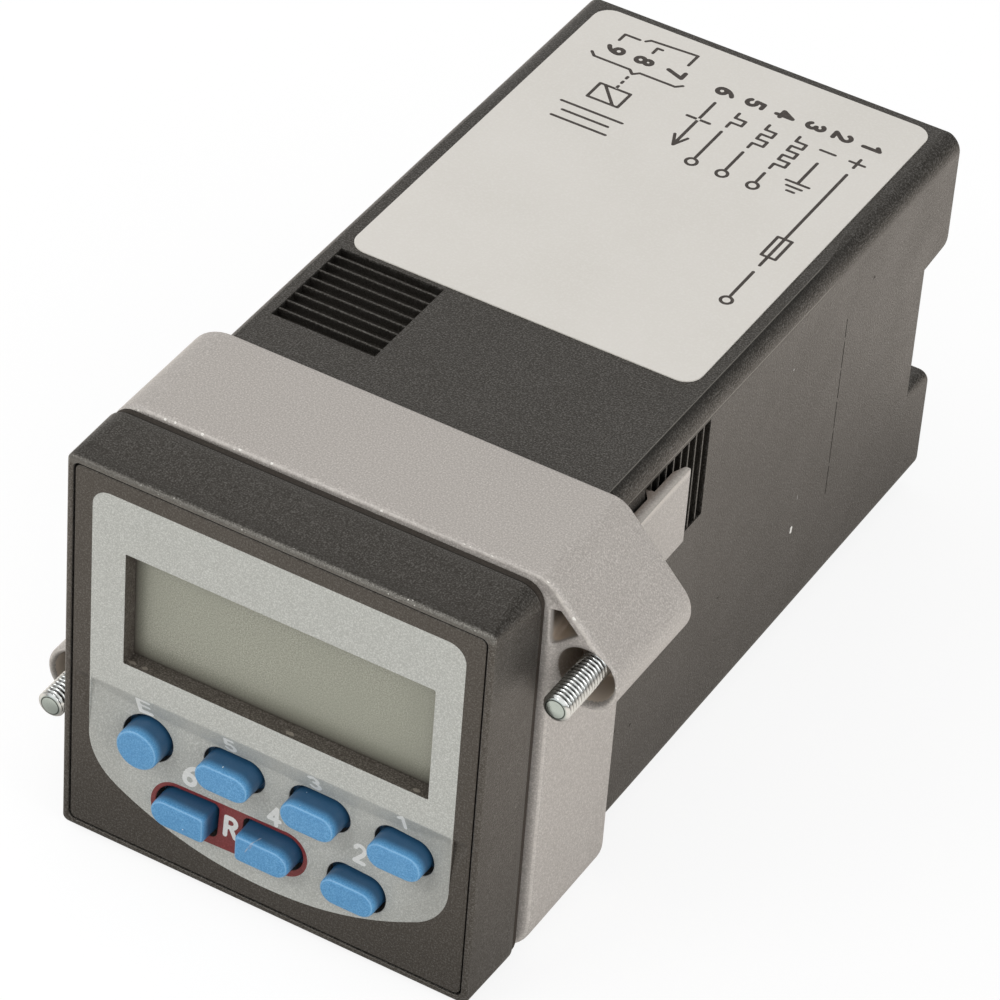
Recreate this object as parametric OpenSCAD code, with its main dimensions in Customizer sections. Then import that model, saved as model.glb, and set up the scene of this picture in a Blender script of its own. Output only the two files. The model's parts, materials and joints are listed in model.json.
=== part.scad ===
// Panel-mounted speed display with six decade keys, two round function keys and
// screw terminals at the rear. The panel lies in the XZ plane: the front faces -Y,
// X runs to the right seen from the front, Z is up. y = 0 is the rear face of the bezel.

/* [Bezel] */
// Side of the square bezel where it meets the panel
bezel_side = 48; // [47.5:0.1:50]
// Depth of the bezel in front of the panel
bezel_depth = 7.54; // [7:0.02:9]
// How far each side leans in towards the front
bezel_lean = 0.6; // [0.2:0.05:0.9]
// Corner radius of the bezel at the panel
bezel_corner_r = 2.5; // [1.5:0.1:3.5]
// Corner radius of the bezel at the front edge
bezel_front_r = 0.6; // [0.4:0.1:1.5]
// Bevel of the outer front edge
bezel_bevel = 0.2; // [0.1:0.05:0.3]
// Height of the straight land next to the panel
bezel_land = 0.8; // [0.4:0.1:1.2]
// Width of the visible rim beside the front plate, at the front
rim_w = 0.7; // [0.6:0.05:1]
// Width of the ledge that the front plate rests on
plate_ledge = 1.9; // [1.5:0.1:2.1]
// Width of the shelf that the front circuit board rests on
board_shelf = 1.9; // [1.4:0.1:2.2]
// Length of the collar behind the bezel that slides into the case
collar_l = 6; // [4:0.5:8]
// Wall of that collar
collar_wall = 1.2; // [1:0.1:1.5]
// Height of the snap bead round the collar
snap_h = 0.35; // [0.2:0.05:0.45]

/* [Front plate] */
// Thickness of the front plate
plate_t = 1.9; // [1.7:0.05:2.3]
// Gap round the front plate in the bezel
plate_gap = 0.1; // [0.05:0.01:0.15]
// Corner radius of the front plate
plate_corner_r = 0.7; // [0.4:0.1:1.2]
// Border of the face beside the display window, on average
window_side = 5.45; // [5.1:0.05:7.5]
// Border of the face above the display window
window_top = 8.55; // [8:0.05:9.5]
// Border between the display window and the fold line
window_foot = 3.45; // [3:0.05:4.5]
// Sideways place of the window's centre
window_x = 0.43; // [-0.5:0.01:0.6]
// Height of the fold line above the middle of the upper key row
fold_over = 4.85; // [4.6:0.05:5.6]
// Slope of the face below the fold, from the front plane
fold_angle = 22; // [18:1:26]
// How far the dish's rim circle reaches past the plate's sides
dish_over = 0.7; // [-0.1:0.05:1.2]
// Height of the rim circle's centre above the axis
dish_z = 2.74; // [2:0.1:3.5]
// Depth of the whole dish at its centre
dish_depth = 1.15; // [0.8:0.05:1.3]

/* [Keys] */
// Space between two neighbouring caps of one row
key_space = 3.32; // [3.1:0.02:3.6]
// Height of an oblong key cap
key_h = 3.5; // [3.2:0.1:3.9]
// Diameter of the small round key cap
key_round_d = 5; // [4.6:0.1:5.4]
// Distance from the middle of the outer key to the plate's side
key_side = 7.52; // [7:0.02:8]
// Sideways place of the keypad's centre
keypad_x = 0.5; // [-0.2:0.05:0.6]
// Height of the lower key row above the bottom of the plate
key_foot = 7.4; // [6.8:0.05:7.8]
// Distance from the upper key row down to the lower one
key_row_gap = 7.25; // [6.9:0.05:7.5]
// How much lower the round key sits than the upper row
key_round_drop = 0.6; // [0:0.1:0.8]
// How far the key caps stand out of the front plane
key_proud = 1.51; // [1.2:0.05:1.8]
// Gap between a key cap and its hole
key_gap = 0.29; // [0.2:0.01:0.32]
// Rounding of the cap's front edge
key_edge_r = 0.35; // [0.2:0.05:0.5]
// Width of the flange that keeps a key behind the plate
key_flange = 0.65; // [0.5:0.05:0.8]
// Thickness of that flange
key_flange_t = 0.8; // [0.6:0.05:1]
// Travel of a key
key_travel = 0.6; // [0.4:0.05:0.8]

/* [Display stack] */
// Gap between the front plate and the display glass
glass_gap = 0.1; // [0.05:0.01:0.2]
// Thickness of the display glass
glass_t = 1.4; // [1.1:0.1:1.6]
// How far the glass reaches past the window, left and right
glass_over = 1.9; // [1.5:0.1:2.2]
// How far the glass reaches past the window, above and below
glass_ledge = 2.8; // [2.5:0.1:3.1]
// Wall of the frame that holds the glass
holder_wall = 0.9; // [0.6:0.1:1.1]
// Depth of the contact strips, up and down
strip_h = 1.5; // [1.2:0.1:1.7]
// Thickness of the switch mat's sheet
mat_t = 0.8; // [0.6:0.1:1]
// Height of the mat's pads under the keys
pad_h = 0.5; // [0.3:0.05:0.7]
// Diameter of the mat's pads
pad_d = 3.2; // [2.6:0.1:3.6]
// Thickness of the circuit boards
board_t = 1.6; // [1.2:0.1:1.8]
// Running gap between parts that are slid or dropped in
slip = 0.2; // [0.1:0.02:0.3]

/* [Case] */
// How far the case stands in from the bezel's sides at the panel
case_inset = 1.7; // [1.6:0.05:2.1]
// Depth of the case behind the panel
case_depth = 89.1; // [85:0.1:100]
// Wall of the case
case_wall = 2; // [1.7:0.1:2.2]
// Long edge radius of the case
case_corner_r = 2.2; // [1.5:0.1:2.8]
// Rounding of the rear edges
rear_edge_r = 1.1; // [0.8:0.1:1.4]
// Depth of the recess between the two terminal lips
recess_depth = 5.1; // [4.8:0.1:5.6]
// Height of each lip beside the recess floor
lip_h = 13.6; // [13.3:0.1:14.3]
// How much the recess widens towards the rear, on each side
recess_draft = 0.7; // [0.3:0.1:0.9]
// Wall of the lips towards the recess, and of the recess floor
lip_wall = 1.5; // [1.2:0.1:1.8]
// Wall at the rear end of the lips
rear_wall = 1.2; // [1:0.1:1.4]

/* [Racks] */
// Depth from the panel to the first tooth of a rack
rack_y = 24; // [23:0.1:26]
// Spacing of the rack's teeth
rack_pitch = 1.49; // [1.4:0.01:1.6]
// Number of teeth of a rack
rack_teeth = 8; // [6:1:12]
// Width of a rack
rack_w = 11.9; // [11:0.1:13]
// Distance from the far side of a rack to the case's edge
rack_edge = 2.35; // [2:0.05:3]
// Depth of the rack's grooves
rack_depth = 0.95; // [0.8:0.05:1.1]
// Crest width of a tooth
crest_w = 0.22; // [0.18:0.02:0.3]
// Length of a tooth's sloping back
tooth_back = 0.42; // [0.3:0.02:0.5]

/* [Clamp frame] */
// Depth of the front of the clamp frame
frame_y = 1.35; // [1.3:0.05:2]
// Length of the clamp frame's ring along the case
frame_l = 14.65; // [13:0.1:16]
// How far the ring stands out from the case at the sides with ears
frame_out = 2.6; // [2.2:0.1:3.2]
// How far the ring stands out from the case above and below
frame_over = 1.7; // [1.4:0.1:2.2]
// Outer corner radius of the ring
frame_corner_r = 4.8; // [4:0.1:5.5]
// Gap between the ring and the case
frame_gap = 0.25; // [0.2:0.01:0.3]
// Bevel of the ring's outer front edge
frame_bevel = 0.5; // [0.3:0.05:0.7]
// Distance of the clamp screws from the ring's side
screw_off = 3; // [2.8:0.1:3.6]
// Distance of the clamp screws from the case's upper or lower face
screw_drop = 8.45; // [7.8:0.05:9.3]
// Radius of the ear round the screw
ear_r = 3.6; // [3.5:0.05:4]
// Radius of the hollow round the screw at the front
hollow_r = 3.05; // [2.6:0.05:3.1]
// Depth of that hollow
hollow_depth = 3; // [2:0.1:4]
// Depth of the weight-saving pocket in the ear
pocket_depth = 9; // [6:0.5:11]
// Length of the pawls behind the flank of their tooth
pawl_tip = 3.81; // [3:0.01:5]
// Width of the pawls
pawl_w = 9.15; // [8:0.05:10]
// Thickness of the pawls
pawl_t = 1.2; // [1:0.05:1.4]
// Gap between a pawl and the flat of the case
pawl_gap = 0.3; // [0.25:0.01:0.4]
// How deep a pawl's tooth reaches into the rack
pawl_bite = 0.6; // [0.45:0.05:0.7]

/* [Clamp screws] */
// Diameter of the clamp screws
screw_d = 3; // [2.5:0.1:3]
// Length of a clamp screw under its head
screw_l = 18; // [16:0.5:18.5]
// How far the tips stand ahead of the panel plane
screw_out = 3.3; // [2.8:0.1:3.5]
// Diameter of the screw's head
head_d = 5; // [4.6:0.1:5.2]
// Height of the screw's head
head_h = 2; // [1.6:0.1:2.2]
// Running gap of the screw in its thread
thread_gap = 0.05; // [0.03:0.01:0.08]
// How far a screw can still be driven in
screw_in = 2.7; // [2:0.1:3]
// Radial gap round the head in its counterbore
head_gap = 0.3; // [0.25:0.05:0.35]

/* [Terminals] */
// Number of terminals in the upper row
upper_count = 6; // [2:1:7]
// Spacing of the upper terminals
upper_pitch = 5.08; // [5:0.01:5.2]
// Number of terminals in the lower row
lower_count = 3; // [2:1:4]
// Spacing of the lower terminals
lower_pitch = 7.62; // [7:0.01:8]
// Width of a wire clamp
clamp_w = 3.8; // [3.4:0.1:4]
// Wall of a wire clamp ahead of the wire
clamp_wall = 0.6; // [0.4:0.1:0.9]
// Height of a wire clamp
clamp_h = 5.8; // [5.2:0.1:6.2]
// Width of the square wire opening
wire_d = 2.2; // [1.8:0.1:2.3]
// Diameter of the terminal screws
term_screw_d = 2.5; // [2:0.1:2.6]
// Diameter of the terminal screws' heads
term_head_d = 3.8; // [3.4:0.1:3.9]
// Depth of the terminal screws' heads below the rear face
term_sunk = 0.4; // [0.2:0.05:0.6]
// Length of a terminal block
block_l = 16; // [14:0.5:18]

/* [Circuit parts] */
// Width of the pin strips between the boards
link_w = 25.4; // [20:0.1:28]
// Height of the pin strips
link_h = 2.6; // [2.4:0.1:3]
// Length of the pin strips on the long boards
link_l = 6; // [4:0.5:8]
// Side of the square controller chip
chip_side = 14; // [10:0.5:16]
// Height of the controller chip
chip_h = 1.6; // [1:0.1:2]
// Distance of the controller chip from the panel plane
chip_y = 40; // [36:0.5:44]
// Length of the quartz can
quartz_l = 11; // [10:0.5:12]
// Width of the quartz can
quartz_w = 4.6; // [4:0.1:5]
// Height of the quartz can
quartz_h = 3.5; // [3:0.1:4]
// Diameter of the electrolytic capacitor
cap_d = 8; // [6.3:0.1:8]
// Length of the electrolytic capacitor
cap_l = 12.5; // [11:0.5:16]
// Distance of the capacitor from the panel plane
cap_y = 18; // [15:0.5:20]
// Width of the relay
relay_w = 28.4; // [26:0.1:29]
// Length of the relay along the case
relay_l = 10.2; // [9:0.1:12]
// Gap between the relay and the board over it
relay_gap = 3.2; // [1:0.1:6]
// Distance of the relay from the panel plane
relay_y = 44; // [38:0.5:48]
// Diameter of the supply choke
coil_d = 11; // [9:0.5:12]
// Height of the supply choke
coil_h = 8; // [6:0.5:9]
// Distance of the choke's axis from the panel plane
coil_y = 24; // [20:0.5:28]

/* [Seal and label] */
// Thickness of the panel gasket
gasket_t = 1.1; // [0.8:0.05:1.2]
// How far the gasket stays inside the bezel's edge
gasket_inset = 0.2; // [0.1:0.05:0.4]
// Distance from the label to the case's long edges
label_side = 2.6; // [2.3:0.1:4]
// Distance from the racks to the label
label_gap = 0.58; // [0.2:0.01:12]
// Distance from the label to the rear end of the case
label_end = 0.95; // [0.9:0.05:2]
// Corner radius of the label
label_r = 2; // [1:0.1:3]
// Thickness of the label
label_t = 0.12; // [0.08:0.01:0.2]

/* [Hidden] */
$fn = 48;
e = 0.01;

// Depths of the front stack, measured from the panel plane
front_y = -bezel_depth;
plate_back = front_y + plate_t;
flange_back = plate_back + key_flange_t;
pad_front = flange_back + key_travel + e * 10;
mat_front = pad_front + pad_h;
board_front = mat_front + mat_t;
board_back = board_front + board_t;
glass_front = plate_back + glass_gap;
glass_back = glass_front + glass_t;

// Sizes of the front unit
bezel_front_side = bezel_side - 2 * bezel_lean;
plate_pocket = bezel_front_side - 2 * rim_w;
plate_side = plate_pocket - 2 * plate_gap;
stack_room = plate_pocket - 2 * plate_ledge;
case_side = bezel_side - 2 * case_inset;
collar_side = case_side - 2 * case_wall - 2 * slip;
collar_room = min(collar_side - 2 * collar_wall, stack_room - 2 * board_shelf);
dish_rim_r = plate_side / 2 + dish_over;
dish_r = (dish_rim_r * dish_rim_r + dish_depth * dish_depth) / (2 * dish_depth);

// Keypad: name, column in half pitches, row, square end (-1 left, 1 right, 0 none)
key_row_low = key_foot - plate_side / 2;
key_row_z = key_row_low + key_row_gap;
key_pitch = (plate_side / 2 - key_side - keypad_x) / 3;
key_w = 2 * key_pitch - key_space;
function key_x(i) = keypad_x + i * key_pitch;
KEY_SPOTS = [[-1, 0, 0], [1, 0, 0], [3, 0, 0], [-2, 1, 1], [0, 1, -1], [2, 1, 0]];
function row_z(row) = row == 0 ? key_row_z : key_row_low;
key_e_z = key_row_z - key_round_drop;
hole_w = key_w + 2 * key_gap;
hole_h = key_h + 2 * key_gap;

// Display
fold_z = key_row_z + fold_over;
window_high = plate_side / 2 - window_top;
window_low = fold_z + window_foot;
window_w = plate_side - 2 * window_side;
window_h = window_high - window_low;
window_z = (window_high + window_low) / 2;
glass_w = window_w + 2 * glass_over;
glass_h = window_h + 2 * glass_ledge;
holder_w = glass_w + 2 * holder_wall + slip;
holder_h = glass_h + 2 * holder_wall + slip;
mat_top = min(window_z - holder_h / 2 - 0.3, key_row_z + key_h / 2 + key_flange + 1);
mat_bottom = -stack_room / 2 + slip;

// Case
case_half = case_side / 2;
case_room = case_side - 2 * case_wall;
floor_y = case_depth - recess_depth;
recess_half = case_half - lip_h;
lip_room_z = recess_half + lip_wall + e * 30;
snap_y = collar_l - 2;
rack_first = rack_y - rack_pitch + crest_w + e * 2;
rack_end = rack_y + rack_teeth * rack_pitch - 0.15;
rack_offset = case_half - rack_edge - rack_w;
label_w = case_side - 2 * label_side;
label_l = case_depth - label_end - rack_end - label_gap;

// Boards behind the front unit
block_z = lip_room_z + slip;
block_top = case_room / 2 - slip;
board_z = block_z - board_t;
rear_board_w = min(collar_room, case_room - 4) - 2 * slip;
rear_board_front = board_back + 2.5;
rear_board_end = floor_y - lip_wall - slip;

// Terminals
block_end = case_depth - rear_wall - slip;
block_front = block_end - block_l;
clamp_end = block_end - slip;
clamp_low = block_z + 0.7;
clamp_mid = clamp_low + clamp_h / 2;
wire_y = floor_y + 0.3 + wire_d / 2;
clamp_front = wire_y - wire_d / 2 - clamp_wall;
term_head_y = clamp_end + slip;
term_head_end = case_depth - term_sunk;

// Clamp frame
frame_w = case_side + 2 * frame_out;
frame_h = case_side + 2 * frame_over;
screw_x = frame_w / 2 + screw_off;
screw_z = case_half - screw_drop;
frame_back = frame_y + frame_l;
frame_room = case_side + 2 * frame_gap;
frame_room_r = case_corner_r + frame_gap;
lobe = [screw_x + 0.2, screw_z + 0.1];
shoulder_r = 3;
shoulder = [frame_w / 2 - 2.63, frame_h / 2 - shoulder_r - 0.02];
counterbore_y = screw_l - screw_out - screw_in;
rib_face = rack_y + rack_pitch;
pawl_in = case_half + pawl_gap;

// Outlines
module rounded(w, h, r) {
    square([w - 2 * r, h], center = true);
    square([w, h - 2 * r], center = true);
    for (sx = [-1, 1], sz = [-1, 1])
        translate([sx * (w / 2 - r), sz * (h / 2 - r)]) circle(r);
}
// Round-ended slot; a square end keeps its corners nearly sharp
module oblong(w, h, square_end = 0) {
    square([w - h, h], center = true);
    for (s = [-1, 1])
        if (s == square_end)
            translate([s * (w - h) / 2, 0]) square([h, h], center = true);
        else
            translate([s * (w - h) / 2, 0]) circle(h / 2);
}
// Extrusions along each axis, between two places
module along_y(a, b) {
    translate([0, b, 0]) rotate([90, 0, 0]) linear_extrude(b - a) children();
}
module along_x(a, b) {
    translate([a, 0, 0]) rotate([90, 0, 90]) linear_extrude(b - a) children();
}
module along_z(a, b) {
    translate([0, 0, a]) linear_extrude(b - a) children();
}
module box(low, high) {
    translate(low) cube(high - low);
}
// Cylinder along Y between two depths
module rod_y(x, z, r, a, b) {
    translate([x, b, z]) rotate([90, 0, 0]) cylinder(r = r, h = b - a);
}
// Points of an arc about a centre
function arc(c, r, a0, a1, n) = [for (i = [0:n]) let (a = a0 + (a1 - a0) * i / n) c + r * [cos(a), sin(a)]];

module key_holes() {
    for (k = KEY_SPOTS) translate([key_x(k[0]), row_z(k[1])]) oblong(hole_w, hole_h, k[2]);
}

// Front unit

module bezel_blank() {
    hull() {
        along_y(front_y, front_y + e)
            rounded(bezel_front_side - 2 * bezel_bevel, bezel_front_side - 2 * bezel_bevel, bezel_front_r);
        along_y(front_y + bezel_bevel, front_y + bezel_bevel + e)
            rounded(bezel_front_side, bezel_front_side, bezel_front_r);
        along_y(-bezel_land - e, -bezel_land) rounded(bezel_side, bezel_side, bezel_corner_r);
    }
    along_y(-bezel_land, 0) rounded(bezel_side, bezel_side, bezel_corner_r);
}

// Snap bead of the collar, one straight run on each side
module snap_bead(extra) {
    for (a = [0:90:270]) rotate([0, a, 0])
        along_x(-9 - extra, 9 + extra)
            polygon([[snap_y - 1.2 - extra, collar_side / 2 - e],
                [snap_y - 0.3 - extra, collar_side / 2 + snap_h + extra],
                [snap_y + 0.3 + extra, collar_side / 2 + snap_h + extra],
                [snap_y + 1.2 + extra, collar_side / 2 - e]]);
}

module front_bezel() {
    color("#55524d") difference() {
        union() {
            bezel_blank();
            along_y(-e, collar_l) rounded(collar_side, collar_side, 0.8);
            snap_bead(0);
        }
        along_y(front_y - 1, plate_back) rounded(plate_pocket, plate_pocket, plate_corner_r + plate_gap);
        along_y(plate_back - e, board_back) rounded(stack_room, stack_room, 0.6);
        along_y(board_back - e, collar_l + 1) rounded(collar_room, collar_room, 0.6);
    }
}

// Shallow keypad dish: a spherical hollow, cut off above by the sloping face at the fold
module keypad_dish() {
    intersection() {
        translate([0, front_y + dish_depth - dish_r, dish_z]) sphere(dish_r, $fn = 300);
        translate([0, front_y, fold_z]) rotate([fold_angle, 0, 0])
            box([-plate_side, -6, -plate_side], [plate_side, 0, 0]);
    }
}

module front_plate() {
    color("#b6b8b2") difference() {
        along_y(front_y, plate_back) rounded(plate_side, plate_side, plate_corner_r);
        keypad_dish();
        along_y(front_y - 1, plate_back + 1) translate([window_x, window_z])
            square([window_w, window_h], center = true);
        along_y(front_y - 1, plate_back + 1) key_holes();
        rod_y(key_x(-3), key_e_z, key_round_d / 2 + key_gap, front_y - 1, plate_back + 1);
    }
}

module lcd_glass() {
    color("#8f8f80") along_y(glass_front, glass_back)
        translate([window_x, window_z]) square([glass_w, glass_h], center = true);
}

// Light guide between the two rows of contacts
module lcd_backlight() {
    color("#e8e8e2") along_y(glass_back, board_front)
        translate([window_x, window_z])
            square([glass_w, glass_h - 2 * strip_h - 2 * slip - 0.4], center = true);
}

module lcd_contact_strips() {
    color("#3a3a3c") for (s = [-1, 1])
        along_y(glass_back, board_front) translate([window_x, window_z + s * (glass_h - strip_h) / 2])
            square([glass_w - 2, strip_h], center = true);
}

// Frame round the glass, standing on the front board
module lcd_holder() {
    color("#2a2a2a") along_y(plate_back, board_front) translate([window_x, window_z]) difference() {
        rounded(holder_w, holder_h, 0.5);
        square([glass_w + slip, glass_h + slip], center = true);
    }
}

// Half section of a cap across its width, with the front edge rounded
function cap_edge(half, face, side) = [for (i = [0:4]) let (a = side > 0 ? 22.5 * i : 90 - 22.5 * i)
    [side * (half - key_edge_r + key_edge_r * sin(a)), face + key_edge_r - key_edge_r * cos(a)]];
function cap_side(half, face, back) = concat([[0, face]], cap_edge(half, face, 1), [[half, back], [0, back]]);
function cap_section(half, face, back) = concat(cap_edge(half, face, 1), [[half, back], [-half, back]],
    cap_edge(half, face, -1));

// Oblong cap: one extruded run and a revolved end, or a bevelled square end, on each side
module oblong_key(x, z, square_end) {
    face = front_y - key_proud;
    run = (key_w - key_h) / 2;
    left = square_end == -1 ? -key_w / 2 : -run;
    right = square_end == 1 ? key_w / 2 : run;
    color("#5a86b4") translate([x, 0, z]) {
        difference() {
            union() {
                along_x(left, right)
                    polygon([for (p = cap_section(key_h / 2, face, plate_back + e)) [p[1], p[0]]]);
                for (s = [-1, 1]) if (s != square_end)
                    translate([s * run, 0, 0]) rotate([-90, 0, 0])
                        rotate_extrude() polygon(cap_side(key_h / 2, face, plate_back + e));
            }
            if (square_end != 0) translate([square_end * key_w / 2, face, 0]) rotate([0, 0, 45])
                cube([key_edge_r, key_edge_r, key_h + 1] * 1.1, center = true);
        }
        along_y(plate_back, flange_back)
            oblong(key_w + 2 * key_gap + 2 * key_flange, key_h + 2 * key_gap + 2 * key_flange, square_end);
    }
}
module key_e() {
    color("#5a86b4") translate([key_x(-3), 0, key_e_z]) {
        rotate([-90, 0, 0]) rotate_extrude()
            polygon(cap_side(key_round_d / 2, front_y - key_proud, plate_back + e));
        rod_y(0, 0, key_round_d / 2 + key_gap + key_flange, plate_back, flange_back);
    }
}
module key_5() oblong_key(key_x(-1), key_row_z, 0);
module key_3() oblong_key(key_x(1), key_row_z, 0);
module key_1() oblong_key(key_x(3), key_row_z, 0);
module key_6() oblong_key(key_x(-2), key_row_low, 1);
module key_4() oblong_key(key_x(0), key_row_low, -1);
module key_2() oblong_key(key_x(2), key_row_low, 0);

// Rubber mat: a sheet with a pad under each key, drawn as pressed
module switch_mat() {
    color("#9a9a9a") {
        along_y(mat_front, board_front) translate([0, (mat_top + mat_bottom) / 2])
            rounded(stack_room - 2 * slip, mat_top - mat_bottom, 0.6);
        for (k = KEY_SPOTS) rod_y(key_x(k[0]), row_z(k[1]), pad_d / 2, pad_front, mat_front + e);
        rod_y(key_x(-3), key_e_z, pad_d / 2, pad_front, mat_front + e);
    }
}

module front_board() {
    color("#2e6b45") along_y(board_front, board_back) rounded(stack_room - slip, stack_room - slip, 0.6);
}

// Case

// Side outline of the case: two terminal lips with the wiring recess between them
module case_side_outline() {
    top = case_half;
    rear = case_depth;
    r = rear_edge_r;
    polygon(concat(
        [[0, -top], [0, top]],
        arc([rear - r, top - r], r, 90, 0, 6),
        arc([rear - 0.3, recess_half + recess_draft + 0.3], 0.3, 0, -90, 3),
        [[floor_y, recess_half], [floor_y, -recess_half]],
        arc([rear - r, -recess_half - recess_draft - r], r, 90, 0, 6),
        arc([rear - r, -top + r], r, 0, -90, 6)));
}

// Saw-tooth rack cut: every steep flank faces the front, every back slopes away from it
module rack_cut() {
    low = case_half - rack_depth;
    crest = case_half - 0.08;
    along_z(rack_offset, rack_offset + rack_w) polygon([for (p = concat(
        [[rack_first, case_half + 1], [rack_first, low]],
        [for (k = [0:rack_teeth - 1]) let (y = rack_y + k * rack_pitch)
            each [[y, low], [y, crest], [y + crest_w, crest], [y + crest_w + tooth_back, low]]],
        [[rack_end, low], [rack_end, case_half + 1]])) [p[1], p[0]]]);
}

// Rails that hold the two long circuit boards by their edges
module board_rails() {
    reach = case_room / 2 - rear_board_w / 2 + 1;
    for (sx = [-1, 1], sz = [-1, 1], side = [-1, 1]) {
        z = sz * (board_z + board_t / 2) + side * (board_t / 2 + slip + 0.5);
        x = sx * (case_room / 2 - reach / 2 + 0.2);
        translate([x, (collar_l + 3 + block_front - 1) / 2, z])
            cube([reach + 0.4, block_front - collar_l - 4, 1], center = true);
    }
}

// Places of the terminals of one row; side is 1 for the upper row, -1 for the lower
module at_terminals(side) {
    n = side > 0 ? upper_count : lower_count;
    pitch = side > 0 ? upper_pitch : lower_pitch;
    for (i = [0:n - 1])
        translate([(i - (n - 1) / 2) * pitch, 0, 0]) mirror([0, 0, side > 0 ? 0 : 1]) children();
}

module case() {
    color("#6f6860") {
        difference() {
            intersection() {
                along_y(0, case_depth + 1) rounded(case_side, case_side, case_corner_r);
                along_x(-case_side, case_side) case_side_outline();
            }
            along_y(-1, floor_y - lip_wall) rounded(case_room, case_room, 0.8);
            for (s = [-1, 1])
                mirror([0, 0, s > 0 ? 0 : 1]) box([-case_room / 2, floor_y - lip_wall - 1, lip_room_z],
                    [case_room / 2, case_depth - rear_wall, case_room / 2]);
            snap_bead(0.12);
            for (a = [0:90:270]) rotate([0, a, 0]) rack_cut();
            for (s = [-1, 1]) at_terminals(s) {
                rod_y(0, clamp_mid, term_head_d / 2 + 0.25, case_depth - rear_wall - 1, case_depth + 1);
                box([-clamp_w / 2 + 0.2, wire_y - wire_d / 2 - 0.2, recess_half - 1],
                    [clamp_w / 2 - 0.2, wire_y + wire_d / 2 + 0.2, lip_room_z + 1]);
            }
        }
        board_rails();
    }
}

module panel_gasket() {
    side = bezel_side - 2 * gasket_inset;
    color("#2c2622") along_y(0, gasket_t) difference() {
        rounded(side, side, bezel_corner_r - gasket_inset);
        rounded(case_side + 2 * slip, case_side + 2 * slip, case_corner_r + slip);
    }
}

module rating_label() {
    color("#dcd8d0") along_z(case_half, case_half + label_t)
        translate([0, case_depth - label_end - label_l / 2]) rounded(label_w, label_l, label_r);
}

// Circuit boards and what they carry

module rear_board(z) {
    along_z(z, z + board_t) translate([0, (rear_board_front + rear_board_end) / 2])
        square([rear_board_w, rear_board_end - rear_board_front], center = true);
}
module signal_board() color("#2e6b45") rear_board(board_z);
module relay_board() color("#2e6b45") rear_board(-board_z - board_t);

// Pin strips between the front board and the two long boards
module board_links() {
    color("#1c1c1c") for (s = [-1, 1]) mirror([0, 0, s > 0 ? 0 : 1])
        box([-link_w / 2, board_back, board_z - link_h], [link_w / 2, rear_board_front + link_l, board_z]);
}

module controller_chip() {
    color("#202020")
        box([2 - chip_side, chip_y, board_z + board_t], [2, chip_y + chip_side, board_z + board_t + chip_h]);
}

// Crystal can with round ends, lying flat on the board
module quartz() {
    color("#c4c4c4") along_z(board_z + board_t, board_z + board_t + quartz_h)
        translate([3.5 + quartz_l / 2, chip_y + chip_side / 2]) oblong(quartz_l, quartz_w);
}

// Electrolytic capacitor lying along the board, with its crimp groove
module buffer_capacitor() {
    r = cap_d / 2;
    color("#27344e") translate([6 + r, cap_y, board_z + board_t + r]) rotate([-90, 0, 0]) rotate_extrude()
        polygon([[0, 0], [r - 0.4, 0], [r, 0.4], [r, 1.8], [r - 0.4, 2.2], [r, 2.6], [r, cap_l - 0.4],
            [r - 0.4, cap_l], [0, cap_l]]);
}

module relay() {
    color("#3d4a6b")
        box([-relay_w / 2, relay_y, -board_z], [relay_w / 2, relay_y + relay_l, board_z - relay_gap]);
}

// Choke: a flanged bobbin
module supply_coil() {
    r = coil_d / 2;
    color("#4a3b2a") translate([-8, coil_y, -board_z]) rotate_extrude()
        polygon([[0, 0], [r, 0], [r, 1.2], [r - 0.9, 1.6], [r - 0.9, coil_h - 1.6], [r, coil_h - 1.2],
            [r, coil_h], [0, coil_h]]);
}

// Terminals

module terminal_block(side) {
    n = side > 0 ? upper_count : lower_count;
    pitch = side > 0 ? upper_pitch : lower_pitch;
    half = min((n - 1) * pitch / 2 + clamp_w / 2 + 1.4, case_room / 2 - slip);
    difference() {
        mirror([0, 0, side > 0 ? 0 : 1]) box([-half, block_front, block_z], [half, block_end, block_top]);
        at_terminals(side) {
            box([-clamp_w / 2 - 0.1, clamp_front - 0.1, clamp_low - 0.1],
                [clamp_w / 2 + 0.1, block_end + 1, clamp_low + clamp_h + 0.1]);
            box([-wire_d / 2 - 0.1, wire_y - wire_d / 2 - 0.1, block_z - 1],
                [wire_d / 2 + 0.1, wire_y + wire_d / 2 + 0.1, clamp_low]);
            box([-0.6, block_front + 2, clamp_mid - 0.5], [0.6, clamp_front, clamp_mid + 0.5]);
            box([-0.6, block_front + 2, block_z - 1], [0.6, block_front + 3.2, clamp_mid + 0.5]);
        }
    }
}
module terminal_block_upper() color("#3f6b4d") terminal_block(1);
module terminal_block_lower() color("#3f6b4d") terminal_block(-1);

// Brass clamp: a box with a square wire opening, a threaded hole and a tail down to the board
module wire_clamp() {
    difference() {
        box([-clamp_w / 2, clamp_front, clamp_low], [clamp_w / 2, clamp_end, clamp_low + clamp_h]);
        box([-wire_d / 2, wire_y - wire_d / 2, clamp_low - 1],
            [wire_d / 2, wire_y + wire_d / 2, clamp_low + clamp_h + 1]);
        rod_y(0, clamp_mid, term_screw_d / 2 + thread_gap, wire_y, clamp_end + 1);
    }
    box([-0.4, block_front + 2.2, clamp_mid - 0.3], [0.4, clamp_front + e, clamp_mid + 0.3]);
    box([-0.4, block_front + 2.2, block_z], [0.4, block_front + 3, clamp_mid + 0.3]);
}
module wire_clamps_upper() color("#c9a25a") at_terminals(1) wire_clamp();
module wire_clamps_lower() color("#c9a25a") at_terminals(-1) wire_clamp();

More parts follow.
